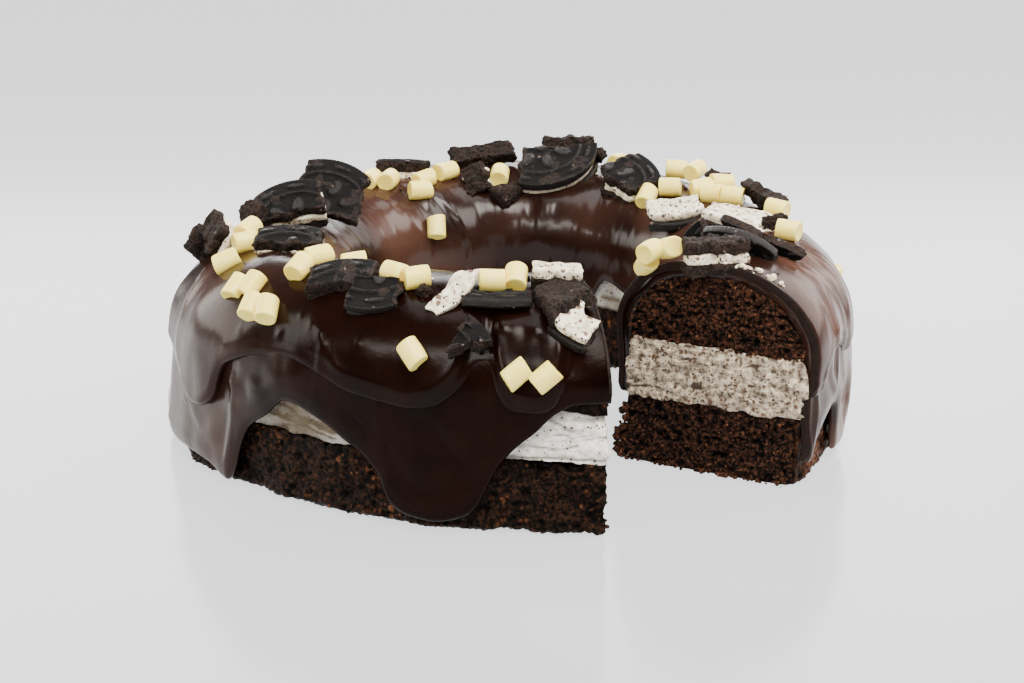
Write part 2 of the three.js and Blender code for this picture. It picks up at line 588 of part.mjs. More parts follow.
COOKIES.forEach((piece) => {
  const shapeOf = piece.size ? lumpGeometry : cookieGeometry;
  const setting = settingMatrix(piece);
  const solid = solidFrom(shapeOf(piece, 0).applyMatrix4(setting));
  const grown = solidFrom(shapeOf(piece, GAP).applyMatrix4(setting));
  const material = piece.name.startsWith('cream') ? materials.cookie_cream : materials.wafer;
  addTopping(piece.name, solid, grown, material);
});

Object.entries(SIDE_BARRELS).forEach(([name, barrel]) => {
  const shapeOf = (grow) => solidFrom(sideBarrelGeometry(barrel, grow));
  addTopping(name, shapeOf(0), shapeOf(GAP), materials.white_chocolate);
});

Object.entries(BARRELS).forEach(([name, group]) => {
  const joined = (grow) => group.map((barrel) => solidFrom(barrelGeometry(barrel, grow)))
    .reduce((sum, one) => sum.add(one));
  addTopping(name, joined(0), joined(GAP), materials.white_chocolate);
});

// The origin goes under the middle of the whole box
const box = new THREE.Box3().setFromObject(cake);
const middle = box.getCenter(new THREE.Vector3());
cake.position.set(-middle.x, -middle.y, -box.min.z);

export default cake;
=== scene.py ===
# %% [markdown]
# # A cookie bundt cake with a slice cut out
#
# The real cake is a chocolate ring sponge, split and filled with cookie cream, poured over twice with dark
# chocolate and set with broken sandwich cookies and white chocolate barrels. Every piece here is a surface
# worked out with numpy: a grid of points that two parameters run over. Sizes are in millimetres from the
# hole's axis, as a baker would measure them, and become metres only when a mesh is made.

# %% The fixed frame
import itertools
import math

import bpy
import numpy as np
from mathutils import Matrix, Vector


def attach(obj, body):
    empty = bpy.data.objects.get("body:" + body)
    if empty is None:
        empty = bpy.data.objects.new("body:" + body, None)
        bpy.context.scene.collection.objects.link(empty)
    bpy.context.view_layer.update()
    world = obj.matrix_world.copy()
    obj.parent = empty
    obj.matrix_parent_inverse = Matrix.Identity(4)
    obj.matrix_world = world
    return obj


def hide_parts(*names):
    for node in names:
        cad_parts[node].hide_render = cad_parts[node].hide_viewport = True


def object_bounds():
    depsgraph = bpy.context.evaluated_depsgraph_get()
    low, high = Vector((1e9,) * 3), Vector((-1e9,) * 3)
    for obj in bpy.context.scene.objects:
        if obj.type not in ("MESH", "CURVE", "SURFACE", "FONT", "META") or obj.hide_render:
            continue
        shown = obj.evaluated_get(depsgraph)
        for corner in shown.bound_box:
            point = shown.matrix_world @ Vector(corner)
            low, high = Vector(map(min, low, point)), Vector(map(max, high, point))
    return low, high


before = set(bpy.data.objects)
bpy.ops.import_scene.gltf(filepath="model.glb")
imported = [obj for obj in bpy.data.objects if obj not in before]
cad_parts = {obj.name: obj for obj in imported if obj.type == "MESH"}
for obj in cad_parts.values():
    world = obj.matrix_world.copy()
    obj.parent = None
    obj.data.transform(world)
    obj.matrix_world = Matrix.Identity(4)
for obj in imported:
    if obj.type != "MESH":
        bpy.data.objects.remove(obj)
cad_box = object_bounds()
MM = 0.001
# The frame's origin is under the middle of the cake's box, and the hole's axis stands here in it.
RING_CENTRE = np.array([-0.1179, 3.4823, 0.0])
print("nodes in the frame:", len(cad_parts))

# %% [markdown]
# ## The ring's own form
#
# A ring cake is a section carried round a hole. Hand-made food is never a true ring, though: the cut ends
# splay, the crest rises and the back shoulders have sunk. One function that moves a point of the true ring to
# its place on the uneven one serves every layer, so they stay nested whatever it does.

# %% Sizes of the ring
HOLE_RADIUS = 62
BASE_RADIUS = 118.6
LOWER_TOP = 24.5
CREAM_TOP = 44.7
ARCH_FOOT = 45
ARCH_HEIGHT = 24.3
ARCH_INNER_RADIUS = 63.4
ARCH_OUTER_RADIUS = 120.4
ARCH_CENTRE_RADIUS = 91
ARCH_SQUARENESS = 2.4
WALL_FOOT_RADIUS = 119.4
GAP = 0.3


def bell(apart, width):
    """A smooth hump of height 1: e to the minus square of the distance over the width."""
    return np.exp(-((apart / width) ** 2))


def half_turned(angle):
    """An angle in degrees brought between -180 and 180."""
    return (np.asarray(angle) + 180) % 360 - 180


def hump(angle, centre, width):
    """A bell round an angle in degrees."""
    return bell(half_turned(angle - centre), width)


def smooth_step(start, end, value):
    """0 up to start, 1 from end on, and an S-curve between: 3t squared minus 2t cubed."""
    t = np.clip((value - start) / (end - start), 0, 1)
    return t * t * (3 - 2 * t)


def blend_values(one, other, share):
    """A straight mix from one (share 0) to other (share 1)."""
    return one + (other - one) * share


def swell(angle, height):
    """How far the outer wall stands out of a true circle."""
    left_cut = 5 * hump(angle, -76, 8) * (1 - 0.55 * smooth_step(24, 56, height))
    sides = 4.5 * hump(angle, 190, 28) + 1.2 * hump(angle, -5, 22)
    return 4 * hump(angle, -38, 9) + left_cut - 2.5 * hump(angle, -118, 32) + sides


def rise(angle):
    """How far the crest rises over its height elsewhere."""
    return 3.5 * hump(angle, -95, 38) - 3 * hump(angle, 25, 40) - 3.5 * hump(angle, 165, 40)


def slump(angle):
    """How far the outer shoulder has sunk towards the hole."""
    return 5 * hump(angle, 12, 38) + 9 * hump(angle, 176, 38)


def ring_point(angle, radius, height):
    """The uneven ring: the radius grows by the swell and shrinks by the slump, and the rise lifts it."""
    outward = np.clip((radius - 60) / 60, 0, 1.1)
    upward = np.clip((height - ARCH_FOOT) / 20, 0, 1)
    sunk = slump(angle) * smooth_step(15, 62, height) * smooth_step(75, 110, radius)
    r = radius + swell(angle, height) * outward - sunk
    turn = np.radians(angle)
    return np.stack([r * np.cos(turn), r * np.sin(turn), height + rise(angle) * upward], axis=-1)


# %% [markdown]
# The chocolate and the sponge under it share one path: up the outer wall, over the arch and down into the
# hole. A point on it is a distance along the path, and an offset off it. The arch is a superellipse that is
# squarer towards the hole, as the tin's tube leaves it.

# %% The path over the dome
def outer_wall(height):
    """Radius of the outer wall, leaning out from its foot to the arch's foot."""
    return blend_values(WALL_FOOT_RADIUS, ARCH_OUTER_RADIUS, np.clip(height / ARCH_FOOT, 0, 1))


def hole_wall(height):
    """Radius of the hole's wall."""
    return blend_values(HOLE_RADIUS, ARCH_INNER_RADIUS, np.clip(height / ARCH_FOOT, 0, 1))


def arch_point(step, offset=0.0):
    """The arch from its foot at the hole (step 0) to the outside (1): a half turn with both its cosine and
    sine raised to 2 over the squareness on the hole's side."""
    turn = np.pi * (1 - np.asarray(step, dtype=float))
    cosine = np.cos(turn)
    towards_hole = cosine < 0
    power = np.where(towards_hole, 2 / ARCH_SQUARENESS, 1)
    inner_half = ARCH_CENTRE_RADIUS - ARCH_INNER_RADIUS
    outer_half = ARCH_OUTER_RADIUS - ARCH_CENTRE_RADIUS
    half_width = np.where(towards_hole, inner_half, outer_half)
    across = np.sign(cosine) * np.abs(cosine) ** power
    up = np.abs(np.sin(turn)) ** power
    return ARCH_CENTRE_RADIUS + across * (half_width + offset), ARCH_FOOT + up * (ARCH_HEIGHT + offset)


ARCH_STEPS_DOWN = np.linspace(1, 0, 401)
arch_radii, arch_heights = arch_point(ARCH_STEPS_DOWN)
ARCH_RUN = np.concatenate([[0], np.cumsum(np.hypot(np.diff(arch_radii), np.diff(arch_heights)))])
ARCH_LENGTH = ARCH_RUN[-1]
CREST_ALONG = ARCH_FOOT + np.interp(ARCH_CENTRE_RADIUS, arch_radii[::-1], ARCH_RUN[::-1])
HOLE_FOOT_ALONG = ARCH_FOOT + ARCH_LENGTH
PATH_LENGTH = 2 * ARCH_FOOT + ARCH_LENGTH


def path_point(along, offset):
    """Radius and height at a distance along the path and an offset off it."""
    step = np.interp(along - ARCH_FOOT, ARCH_RUN, ARCH_STEPS_DOWN)
    radius, height = arch_point(step, offset)
    outside = along < ARCH_FOOT
    inside = along > HOLE_FOOT_ALONG
    wall_height = np.where(inside, PATH_LENGTH - along, along)
    radius = np.where(outside, outer_wall(wall_height) + offset, radius)
    radius = np.where(inside, hole_wall(wall_height) - offset, radius)
    return radius, np.where(outside | inside, wall_height, height)


def along_at_height(height):
    """The distance along the path at which the outer side reaches a height."""
    half = len(ARCH_STEPS_DOWN) // 2
    on_arch = ARCH_FOOT + np.interp(height, arch_heights[:half], ARCH_RUN[:half])
    return np.where(height < ARCH_FOOT, height, on_arch)


print(f"the path over the dome is {PATH_LENGTH:.0f} mm long, its crest at {CREST_ALONG:.0f} mm")

# %% [markdown]
# ## The two cuts
#
# The left cut points at the hole's axis, and the right one passes 25.6 mm beside it, so its angle depends on
# how far out it is met. The angle is found by a few rounds of working out the radius at a guessed angle, and
# from that a better angle. Every layer is then a grid from one cut to the other.

# %% Angles of the cuts
LEFT_CUT_ANGLE = -76
RIGHT_CUT_DIRECTION = -27
RIM_AT_RIGHT_CUT = 122
RIM_ANGLE_AT_RIGHT_CUT = -39.1
RIGHT_CUT_OFFSET = RIM_AT_RIGHT_CUT * math.sin(math.radians(RIGHT_CUT_DIRECTION - RIM_ANGLE_AT_RIGHT_CUT))
NEAR_RIGHT_CUT = -45.0
CUT_ROUNDS = 8


def arrow(degrees):
    """A level arrow of length 1 that points at an angle."""
    turn = math.radians(degrees)
    return np.array([math.cos(turn), math.sin(turn), 0])


def axis_distance(points):
    """How far each point is from the hole's axis."""
    return np.hypot(points[..., 0], points[..., 1])


def axis_angle(points):
    """The angle in degrees of each point round the hole's axis."""
    return np.degrees(np.arctan2(points[..., 1], points[..., 0]))


RIGHT_FACE_NORMAL = arrow(RIGHT_CUT_DIRECTION - 90)
LEFT_FACE_NORMAL = arrow(LEFT_CUT_ANGLE + 90)


def right_cut_angle(radius, height, behind=0.0):
    """The angle of the right cut at a radius: the foot of the cut's line, plus the arc cosine of its distance
    from the axis over the radius. behind moves the plane into the cake."""
    angle = np.full(np.shape(radius), NEAR_RIGHT_CUT)
    for _ in range(CUT_ROUNDS):
        reach = axis_distance(ring_point(angle, radius, height))
        angle = RIGHT_CUT_DIRECTION - 90 + np.degrees(np.arccos((RIGHT_CUT_OFFSET - behind) / reach))
    return angle


def angle_between_cuts(share, radius, height, behind=0.0):
    """The angle at a share of the way from the right cut (0) round the back to the left cut (1)."""
    first = right_cut_angle(radius, height, behind)
    last = LEFT_CUT_ANGLE + 360 - np.degrees(behind / radius)
    return first + share * (last - first)


print(f"the right cut passes {RIGHT_CUT_OFFSET:.1f} mm beside the hole's axis")

# %% [markdown]
# ## Unevenness
#
# Crumb, crust and drapes of chocolate all need smooth randomness that is the same on every run. Numbers are
# drawn for whole-number corners of a grid by scrambling the corners' counts, and eased between. Distances
# to one random place in each box of the grid give pores and grains.

# %% Noise and cells
def scramble(x, y, z, seed):
    """A repeatable number from 0 to 1 for a corner: large odd multiples of its counts, mixed by shifts."""
    mixed = (x * 374761393 + y * 668265263 + z * 2147483647 + seed * 1274126177) & 0xFFFFFFFF
    mixed = mixed.astype(np.uint64)
    mixed = ((mixed ^ (mixed >> np.uint64(13))) * np.uint64(1274126177)) & np.uint64(0xFFFFFFFF)
    mixed = mixed ^ (mixed >> np.uint64(16))
    return mixed.astype(float) / 4294967295.0


def noise(points, size, seed=0):
    """Smooth noise from -1 to 1, bumps about one size across: corner numbers weighted by eased nearness."""
    place = points / np.asarray(size, dtype=float)
    corner = np.floor(place).astype(np.int64)
    near = place - corner
    near = near * near * (3 - 2 * near)
    total = np.zeros(points.shape[:-1])
    for step in itertools.product((0, 1), repeat=3):
        weight = np.prod([near[..., k] if step[k] else 1 - near[..., k] for k in range(3)], axis=0)
        x, y, z = (corner[..., k] + step[k] for k in range(3))
        total += weight * scramble(x, y, z, seed)
    return 2 * total - 1


def layered_noise(points, size, layers, seed=0):
    """Noise at a size, half as strong at half the size, and so on."""
    size = np.asarray(size, dtype=float)
    return sum(noise(points, size / 2**k, seed + 17 * k) / 2**k for k in range(layers))


def cells(points, size, seed=0):
    """Distance in millimetres to the nearest of one random place per box, and that place's own number."""
    place = points / size
    box = np.floor(place).astype(np.int64)
    nearest = np.full(points.shape[:-1], 9.0)
    number = np.zeros(points.shape[:-1])
    for step in itertools.product((-1, 0, 1), repeat=3):
        corner = [box[..., k] + step[k] for k in range(3)]
        seeds = [corner[k] + scramble(*corner, seed + 1 + k) for k in range(3)]
        apart = np.sqrt(sum((place[..., k] - seeds[k]) ** 2 for k in range(3)))
        number = np.where(apart < nearest, scramble(*corner, seed + 5), number)
        nearest = np.minimum(apart, nearest)
    return nearest * size, number


def mound(distance, radius):
    """A rounded grain: 1 minus the square of distance over radius, and 0 outside it."""
    return np.clip(1 - (distance / radius) ** 2, 0, 1)


def pit(distance, radius):
    """A pointed pit: 1 minus distance over radius, and 0 outside it."""
    return np.clip(1 - distance / radius, 0, 1)


print("noise at three places:", noise(np.diag([3.0, 5.0, 7.0]), 10).round(2))

# %% [markdown]
# ## From a grid to a mesh
#
# A loft is a grid whose rows are closed loops. Its faces join each loop to the next, and one flat face closes
# each end, so every piece is a closed solid. Where a relief is wanted, the points are pushed along the grid's
# own normal, which is the cross product of its two directions.

# %% Loft, relief and mesh
def loft_faces(loops, size):
    """Four-sided faces between neighbouring loops, and the two loops that close the ends."""
    here = np.arange(loops - 1)[:, None] * size + np.arange(size)[None, :]
    there = here + size
    faces = np.stack([here, there, np.roll(there, -1, axis=1), np.roll(here, -1, axis=1)], axis=-1)
    return faces.reshape(-1, 4), [np.arange(size), (loops - 1) * size + np.arange(size)[::-1]]


def grid_normals(grid):
    """Unit normals: the cross product of the differences along the grid's two directions."""
    down = np.gradient(grid, axis=0)
    round_it = np.roll(grid, -1, axis=1) - np.roll(grid, 1, axis=1)
    normal = np.cross(down, round_it)
    return normal / np.maximum(np.linalg.norm(normal, axis=-1, keepdims=True), 1e-9)


def add_mesh(name, points, faces, caps, materials, choice=None, marks=None):
    """A new object from points in millimetres, four-sided faces and end loops, riding on the root."""
    mesh = bpy.data.meshes.new(name)
    placed = np.clip((points.reshape(-1, 3) + RING_CENTRE) * MM, *cad_box)
    corners = np.concatenate([faces.ravel(), *caps])
    sizes = np.concatenate([np.full(len(faces), 4), [len(cap) for cap in caps]]).astype(np.int32)
    starts = np.concatenate([[0], np.cumsum(sizes)[:-1]]).astype(np.int32)
    mesh.vertices.add(len(placed))
    mesh.vertices.foreach_set("co", placed.astype(np.float32).ravel())
    mesh.loops.add(len(corners))
    mesh.loops.foreach_set("vertex_index", corners.astype(np.int32))
    mesh.polygons.add(len(sizes))
    mesh.polygons.foreach_set("loop_start", starts)
    for material in materials:
        mesh.materials.append(material)
    if choice is not None:
        mesh.polygons.foreach_set("material_index", np.asarray(choice, dtype=np.int32))
    mesh.update(calc_edges=True)
    mesh.shade_smooth()
    for label, values in (marks or {}).items():
        layer = mesh.attributes.new(label, "FLOAT", "POINT")
        layer.data.foreach_set("value", np.asarray(values, dtype=np.float32).ravel())
    piece = bpy.data.objects.new(name, mesh)
    bpy.context.scene.collection.objects.link(piece)
    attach(piece, "root")
    return piece


def volume_of(points, faces, caps):
    """Volume in millilitres from triangles with a common corner, positive if the faces look outwards."""
    flat = points.reshape(-1, 3)
    fans = [np.stack([np.full(len(cap) - 2, cap[0]), cap[1:-1], cap[2:]], axis=1) for cap in caps]
    triangles = np.concatenate([faces[:, [0, 1, 2]], faces[:, [0, 2, 3]], *fans])
    a, b, c = (flat[triangles[:, k]] for k in range(3))
    return float(np.einsum("ij,ij->i", a, np.cross(b, c)).sum() / 6 / 1000)


def join_parts(parts):
    """Several (points, faces, caps) as one, with the later ones' numbers moved on."""
    points, faces, caps, start = [], [], [], 0
    for part_points, part_faces, part_caps in parts:
        points.append(part_points.reshape(-1, 3))
        faces.append(part_faces + start)
        caps.extend(cap + start for cap in part_caps)
        start += len(points[-1])
    return np.concatenate(points), np.concatenate(faces), caps


# %% [markdown]
# ## Colours and shared effects
#
# Food is never one flat colour. Three small node groups carry what the finishes share: a mottle that mixes
# two colours, specks that pick out random dots, and a fine grain for a bump. Each material plugs in its own
# sizes and colours. All three read the object's own coordinates, so they stay put on the cake.

# %% Node groups
def display_colour(red, green, blue):
    """A colour as a screen shows it, 0 to 255, turned into the linear value that a shader takes."""
    def linear(level):
        level /= 255
        return level / 12.92 if level <= 0.04045 else ((level + 0.055) / 1.055) ** 2.4
    return (linear(red), linear(green), linear(blue), 1.0)


def add_node(tree, kind, inputs=None, **settings):
    """A node with its settings and its inputs, each a value or another node's output."""
    node = tree.nodes.new(kind)
    for key, value in settings.items():
        setattr(node, key, value)
    for key, value in (inputs or {}).items():
        if isinstance(value, bpy.types.NodeSocket):
            tree.links.new(value, node.inputs[key])
        else:
            node.inputs[key].default_value = value
    return node


def new_group(name, inputs, output, kind):
    """An empty group with sockets: inputs is {name: its value}, a number or a colour."""
    group = bpy.data.node_groups.new(name, "ShaderNodeTree")
    for label, value in inputs.items():
        input_kind = "NodeSocketColor" if isinstance(value, tuple) else "NodeSocketFloat"
        group.interface.new_socket(label, in_out="INPUT", socket_type=input_kind).default_value = value
    group.interface.new_socket(output, in_out="OUTPUT", socket_type=kind)
    return group, group.nodes.new("NodeGroupInput"), group.nodes.new("NodeGroupOutput")


def maths(tree, operation, *values, **settings):
    """The output of a Math node on numbers or other outputs."""
    inputs = dict(enumerate(values))
    return add_node(tree, "ShaderNodeMath", inputs, operation=operation, **settings).outputs[0]


def pattern_place(group, given):
    """The object's own coordinates, and the scale that makes a pattern as large as Size in millimetres."""
    here = add_node(group, "ShaderNodeTexCoord").outputs["Object"]
    return here, maths(group, "DIVIDE", 1 / MM, given.outputs["Size"])


def build_mottle():
    """Mottle: noise at the object's own coordinates, sharpened by Contrast, mixes Dark with Light."""
    inputs = {"Dark": (0, 0, 0, 1), "Light": (1, 1, 1, 1), "Size": 5.0, "Contrast": 2.0}
    group, given, result = new_group("mottle", inputs, "Colour", "NodeSocketColor")
    here, scale = pattern_place(group, given)
    pattern = add_node(group, "ShaderNodeTexNoise",
                       {"Vector": here, "Scale": scale, "Detail": 5.0, "Roughness": 0.6})
    centred = maths(group, "SUBTRACT", pattern.outputs["Fac"], 0.5)
    spread = maths(group, "MULTIPLY_ADD", centred, given.outputs["Contrast"], 0.5, use_clamp=True)
    mixed = add_node(group, "ShaderNodeMix", {0: spread, 6: given.outputs["Dark"], 7: given.outputs["Light"]},
                     data_type="RGBA")
    group.links.new(mixed.outputs[2], result.inputs["Colour"])
    return group


def build_specks():
    """Specks: in each cell of a Voronoi pattern, a dot of the given Radius shows if the cell's own random
    number is under Share. A little noise bends the coordinates, so that no dot is round."""
    inputs = {"Size": 2.0, "Radius": 0.3, "Share": 0.3}
    group, given, result = new_group("specks", inputs, "Mask", "NodeSocketFloat")
    here, scale = pattern_place(group, given)
    bend = add_node(group, "ShaderNodeTexNoise", {"Vector": here, "Scale": 900.0, "Detail": 2.0})
    bent = add_node(group, "ShaderNodeVectorMath", {0: bend.outputs["Color"], "Scale": 0.0008},
                    operation="SCALE")
    moved = add_node(group, "ShaderNodeVectorMath", {0: here, 1: bent.outputs[0]}, operation="ADD")
    dots = add_node(group, "ShaderNodeTexVoronoi",
                    {"Vector": moved.outputs[0], "Scale": scale, "Randomness": 1.0})
    own = add_node(group, "ShaderNodeSeparateColor", {"Color": dots.outputs["Color"]})
    chosen = maths(group, "LESS_THAN", own.outputs[0], given.outputs["Share"])
    grown = maths(group, "MULTIPLY_ADD", own.outputs[1], 0.7, 0.5)
    reach = maths(group, "MULTIPLY", given.outputs["Radius"], grown)
    near = maths(group, "LESS_THAN", dots.outputs["Distance"], reach)
    group.links.new(maths(group, "MULTIPLY", chosen, near), result.inputs["Mask"])
    return group


def build_grain():
    """Grain: a height from noise of the given Size, for a bump."""
    group, given, result = new_group("grain", {"Size": 1.0, "Detail": 4.0}, "Height", "NodeSocketFloat")
    here, scale = pattern_place(group, given)
    pattern = add_node(group, "ShaderNodeTexNoise",
                       {"Vector": here, "Scale": scale, "Detail": given.outputs["Detail"], "Roughness": 0.65})
    group.links.new(pattern.outputs["Fac"], result.inputs["Height"])
    return group


MOTTLE = build_mottle()
SPECKS = build_specks()
GRAIN = build_grain()
print("groups:", MOTTLE.name, SPECKS.name, GRAIN.name)


# %% Placing the groups in a material
def new_material(name, roughness, specular):
    """An empty material with its shader's plain values set, and the tree and shader to build on."""
    material = bpy.data.materials.new(name)
    material.use_nodes = True
    shader = material.node_tree.nodes["Principled BSDF"]
    shader.inputs["Roughness"].default_value = roughness
    shader.inputs["Specular IOR Level"].default_value = specular
    return material, material.node_tree, shader


def from_group(tree, group, **values):
    """The one output of a shared group, with its inputs given by name."""
    inputs = {name.capitalize(): value for name, value in values.items()}
    return add_node(tree, "ShaderNodeGroup", inputs, node_tree=group).outputs[0]


def mottled(tree, dark, light, size, contrast=2.0):
    """The colour of a mottle between two display colours."""
    dark, light = display_colour(*dark), display_colour(*light)
    return from_group(tree, MOTTLE, dark=dark, light=light, size=size, contrast=contrast)


def specked(tree, size, radius, share):
    """The mask of a scatter of specks."""
    return from_group(tree, SPECKS, size=size, radius=radius, share=share)


def mixed_colour(tree, mask, under, over):
    """under where the mask is 0 and over where it is 1; each is a display colour or an output."""
    inputs = {0: mask}
    for number, side in ((6, under), (7, over)):
        inputs[number] = side if isinstance(side, bpy.types.NodeSocket) else display_colour(*side)
    return add_node(tree, "ShaderNodeMix", inputs, data_type="RGBA").outputs[2]


def mark_of(tree, name):
    """The value of a mark that the mesh carries at its points."""
    return add_node(tree, "ShaderNodeAttribute", attribute_name=name).outputs["Fac"]


def ranged(tree, value, low, high):
    """A value from 0 to 1 spread over low to high."""
    return add_node(tree, "ShaderNodeMapRange", {"Value": value, "To Min": low, "To Max": high}).outputs[0]


def finished(material, colour, size, depth, detail=4.0):
    """The material with its colour plugged in, and a bump of the shared grain, depth millimetres deep."""
    tree = material.node_tree
    shader = tree.nodes["Principled BSDF"]
    height = from_group(tree, GRAIN, size=size, detail=detail)
    bump = add_node(tree, "ShaderNodeBump", {"Height": height, "Strength": 1.0, "Distance": depth * MM})
    tree.links.new(colour, shader.inputs["Base Color"])
    tree.links.new(bump.outputs["Normal"], shader.inputs["Normal"])
    return material


# %% [markdown]
# ## Finishes
#
# Set chocolate is a dark brown gloss whose lightness on the cake comes almost all from what it mirrors; on
# the sides and the back a painted sheen lightens its colour too. The crumb is matt, and painted shade takes
# it to near black in its pores, which the mesh marks as hollow. Cream is off-white with cookie specks. Wafers
# are cocoa-black where they are pressed, with painted shade in their grooves, and browner where they broke.

# %% Materials
def make_glaze():
    """Near black, with a milky painted sheen and a mirroring clear coat, each as strong as its mark says."""
    material, tree, shader = new_material("poured chocolate", 0.2, 0.03)
    deep = mottled(tree, (7, 2, 1), (25, 9, 5), 16, 1.8)
    milky = mixed_colour(tree, mark_of(tree, "painted_sheen"), deep, (88, 60, 49))
    gloss = ranged(tree, from_group(tree, GRAIN, size=9), 0.04, 0.3)
    tree.links.new(gloss, shader.inputs["Roughness"])
    tree.links.new(mark_of(tree, "gloss"), shader.inputs["Coat Weight"])
    shader.inputs["Specular Tint"].default_value = (1.0, 0.9, 0.8, 1)
    shader.inputs["Coat Roughness"].default_value = 0.22
    shader.inputs["Coat Tint"].default_value = (1.0, 0.95, 0.9, 1)
    return finished(material, milky, 2.4, 0.16, 3.0)


def make_glaze_cut():
    """Where the knife went through the chocolate it is duller and browner."""
    material, tree, _ = new_material("cut chocolate", 0.5, 0.12)
    return finished(material, mottled(tree, (13, 7, 5), (32, 18, 12), 2.5), 0.9, 0.3)


def make_crumb(name, dark, light):
    """Torn sponge: a sharp mottle, a few lighter crumbs, and painted shade, near black, where it is hollow.
    """
    material, tree, _ = new_material(name, 0.85, 0.12)
    base = mottled(tree, dark, light, 1.1, 8.5)
    warm = mixed_colour(tree, specked(tree, 1.3, 0.44, 0.09), base, (112, 72, 48))
    # Painted shade: the crumb goes near black where the mesh marks it hollow.
    hollow = mixed_colour(tree, mark_of(tree, "hollow"), warm, (2, 1, 1))
    return finished(material, hollow, 0.6, 0.7)


def make_crust():
    """The baked outside: darker and tighter than the crumb, with lighter crumbs in patches."""
    material, tree, _ = new_material("baked crust", 0.4, 0.05)
    base = mottled(tree, (3, 2, 1), (47, 29, 19), 1.3, 9.0)
    patches = {"Value": from_group(tree, GRAIN, size=14), "From Min": 0.5, "From Max": 0.68}
    here = add_node(tree, "ShaderNodeMapRange", patches).outputs[0]
    specks = maths(tree, "MULTIPLY", specked(tree, 1.9, 0.55, 0.4), here)
    warm = mixed_colour(tree, specks, base, (132, 79, 46))
    # Low at the right the crust turns lighter orange-brown: browned crust, with painted light where that
    # corner lies in shade.
    browned = mottled(tree, (44, 25, 15), (138, 84, 52), 1.3, 4.5)
    toast_and_painted_light = mixed_colour(tree, mark_of(tree, "toast_and_painted_light"), warm, browned)
    # Painted shade: the crust goes near black where the mesh marks it hollow.
    hollow = mixed_colour(tree, mark_of(tree, "hollow"), toast_and_painted_light, (4, 3, 2))
    return finished(material, hollow, 0.8, 0.7)


def make_cream(name, dark, light, smeared_with, speck_share):
    """Filling: off-white, smeared with cocoa where its mark says, with brown and dark specks. On the spread
    cream the mark also carries painted shade.
    """
    material, tree, _ = new_material(name, 0.55, 0.3)
    smeared = mixed_colour(tree, mark_of(tree, "smear"), mottled(tree, dark, light, 2.0, 3.4), smeared_with)
    browned = mixed_colour(tree, specked(tree, 1.5, 0.4, speck_share), smeared, (92, 64, 45))
    specks = mixed_colour(tree, specked(tree, 0.9, 0.36, 1.3 * speck_share), browned, (40, 29, 23))
    return finished(material, specks, 0.9, 0.35)


def make_wafer():
    """Pressed cocoa wafer with painted shade in its grooves and a soft sheen, and matt crumb where it broke.
    """
    material, tree, shader = new_material("cocoa wafer", 0.3, 0.24)
    raised = mottled(tree, (8, 6, 5), (24, 18, 15), 1.4, 3.0)
    # Painted shade: the pressed face goes black in its grooves.
    pressed = mixed_colour(tree, mark_of(tree, "groove_shade"), raised, (2, 1, 1))
    torn = mottled(tree, (2, 1, 1), (46, 31, 22), 0.8, 8.5)
    colour = mixed_colour(tree, mark_of(tree, "broken"), pressed, torn)
    dusted = mixed_colour(tree, specked(tree, 2.6, 0.22, 0.08), colour, (96, 82, 74))
    matt = maths(tree, "MAXIMUM", mark_of(tree, "broken"), mark_of(tree, "groove_shade"))
    tree.links.new(ranged(tree, matt, 0.25, 0.85), shader.inputs["Roughness"])
    return finished(material, dusted, 0.8, 0.8)


def make_cookie_cream(name, speck_share):
    """Sweet cream: warm white with wafer crumbs pressed into it."""
    material, tree, _ = new_material(name, 0.5, 0.3)
    base = mottled(tree, (196, 178, 144), (253, 245, 222), 2.4, 3.2)
    browned = mixed_colour(tree, specked(tree, 1.7, 0.5, speck_share), base, (112, 84, 66))
    specks = mixed_colour(tree, specked(tree, 1.0, 0.42, 1.4 * speck_share), browned, (44, 32, 27))
    return finished(material, specks, 0.9, 0.3)


def make_white_chocolate():
    """Butter yellow and satin, with a little light going through it and rare stains."""
    material, tree, shader = new_material("white chocolate", 0.32, 0.5)
    shader.inputs["Subsurface Weight"].default_value = 0.25
    shader.inputs["Subsurface Radius"].default_value = (1.0, 0.8, 0.3)
    shader.inputs["Subsurface Scale"].default_value = 2 * MM
    base = mottled(tree, (255, 221, 84), (255, 241, 138), 4, 1.8)
    stained = mixed_colour(tree, specked(tree, 9, 0.1, 0.12), base, (150, 112, 84))
    return finished(material, stained, 1.6, 0.08)


glaze_material = make_glaze()
glaze_cut_material = make_glaze_cut()
lower_crumb = make_crumb("lower crumb", (4, 3, 2), (70, 43, 29))
upper_crumb = make_crumb("upper crumb", (4, 2, 1), (76, 46, 30))
crust_material = make_crust()
# The cut cream is the same filling as the spread cream, given darker colours as painted shade of the gap.
cut_cream_in_painted_shade = make_cream("cut cream", (72, 54, 38), (220, 203, 177), (54, 38, 27), 0.3)
cream_side_material = make_cream("spread cream", (208, 200, 184), (255, 253, 248), (82, 69, 50), 0.09)
wafer_material = make_wafer()
cookie_cream_material = make_cookie_cream("cookie cream", 0.08)
crumbed_cream_material = make_cookie_cream("crumbed cookie cream", 0.24)
white_chocolate_material = make_white_chocolate()
print("materials:", len(bpy.data.materials))

# %% [markdown]
# ## The layers
#
# Each layer is a loft: its outline at one angle is a closed loop, and the loops run from one cut to the
# other. The outside gets close rows, because its crust shows where the chocolate leaves gaps, and the hidden
# top and bottom get few. The lofts stop a little behind the cuts, where finer faces stand in front of them.

# %% Layer outlines
SIDE_RADIUS = 118
MM_A_DEGREE = math.radians(1) * SIDE_RADIUS
WALL_ROWS = 40
HOLE_ROWS = 14
TOP_ROWS = 4
LAYER_STATIONS = 860
OUTLINE_ROUNDS = 3
END_DEPTHS = (3.2, 1.3, 0.5)
END_INSETS = (2.6, 1.4, 0.0)


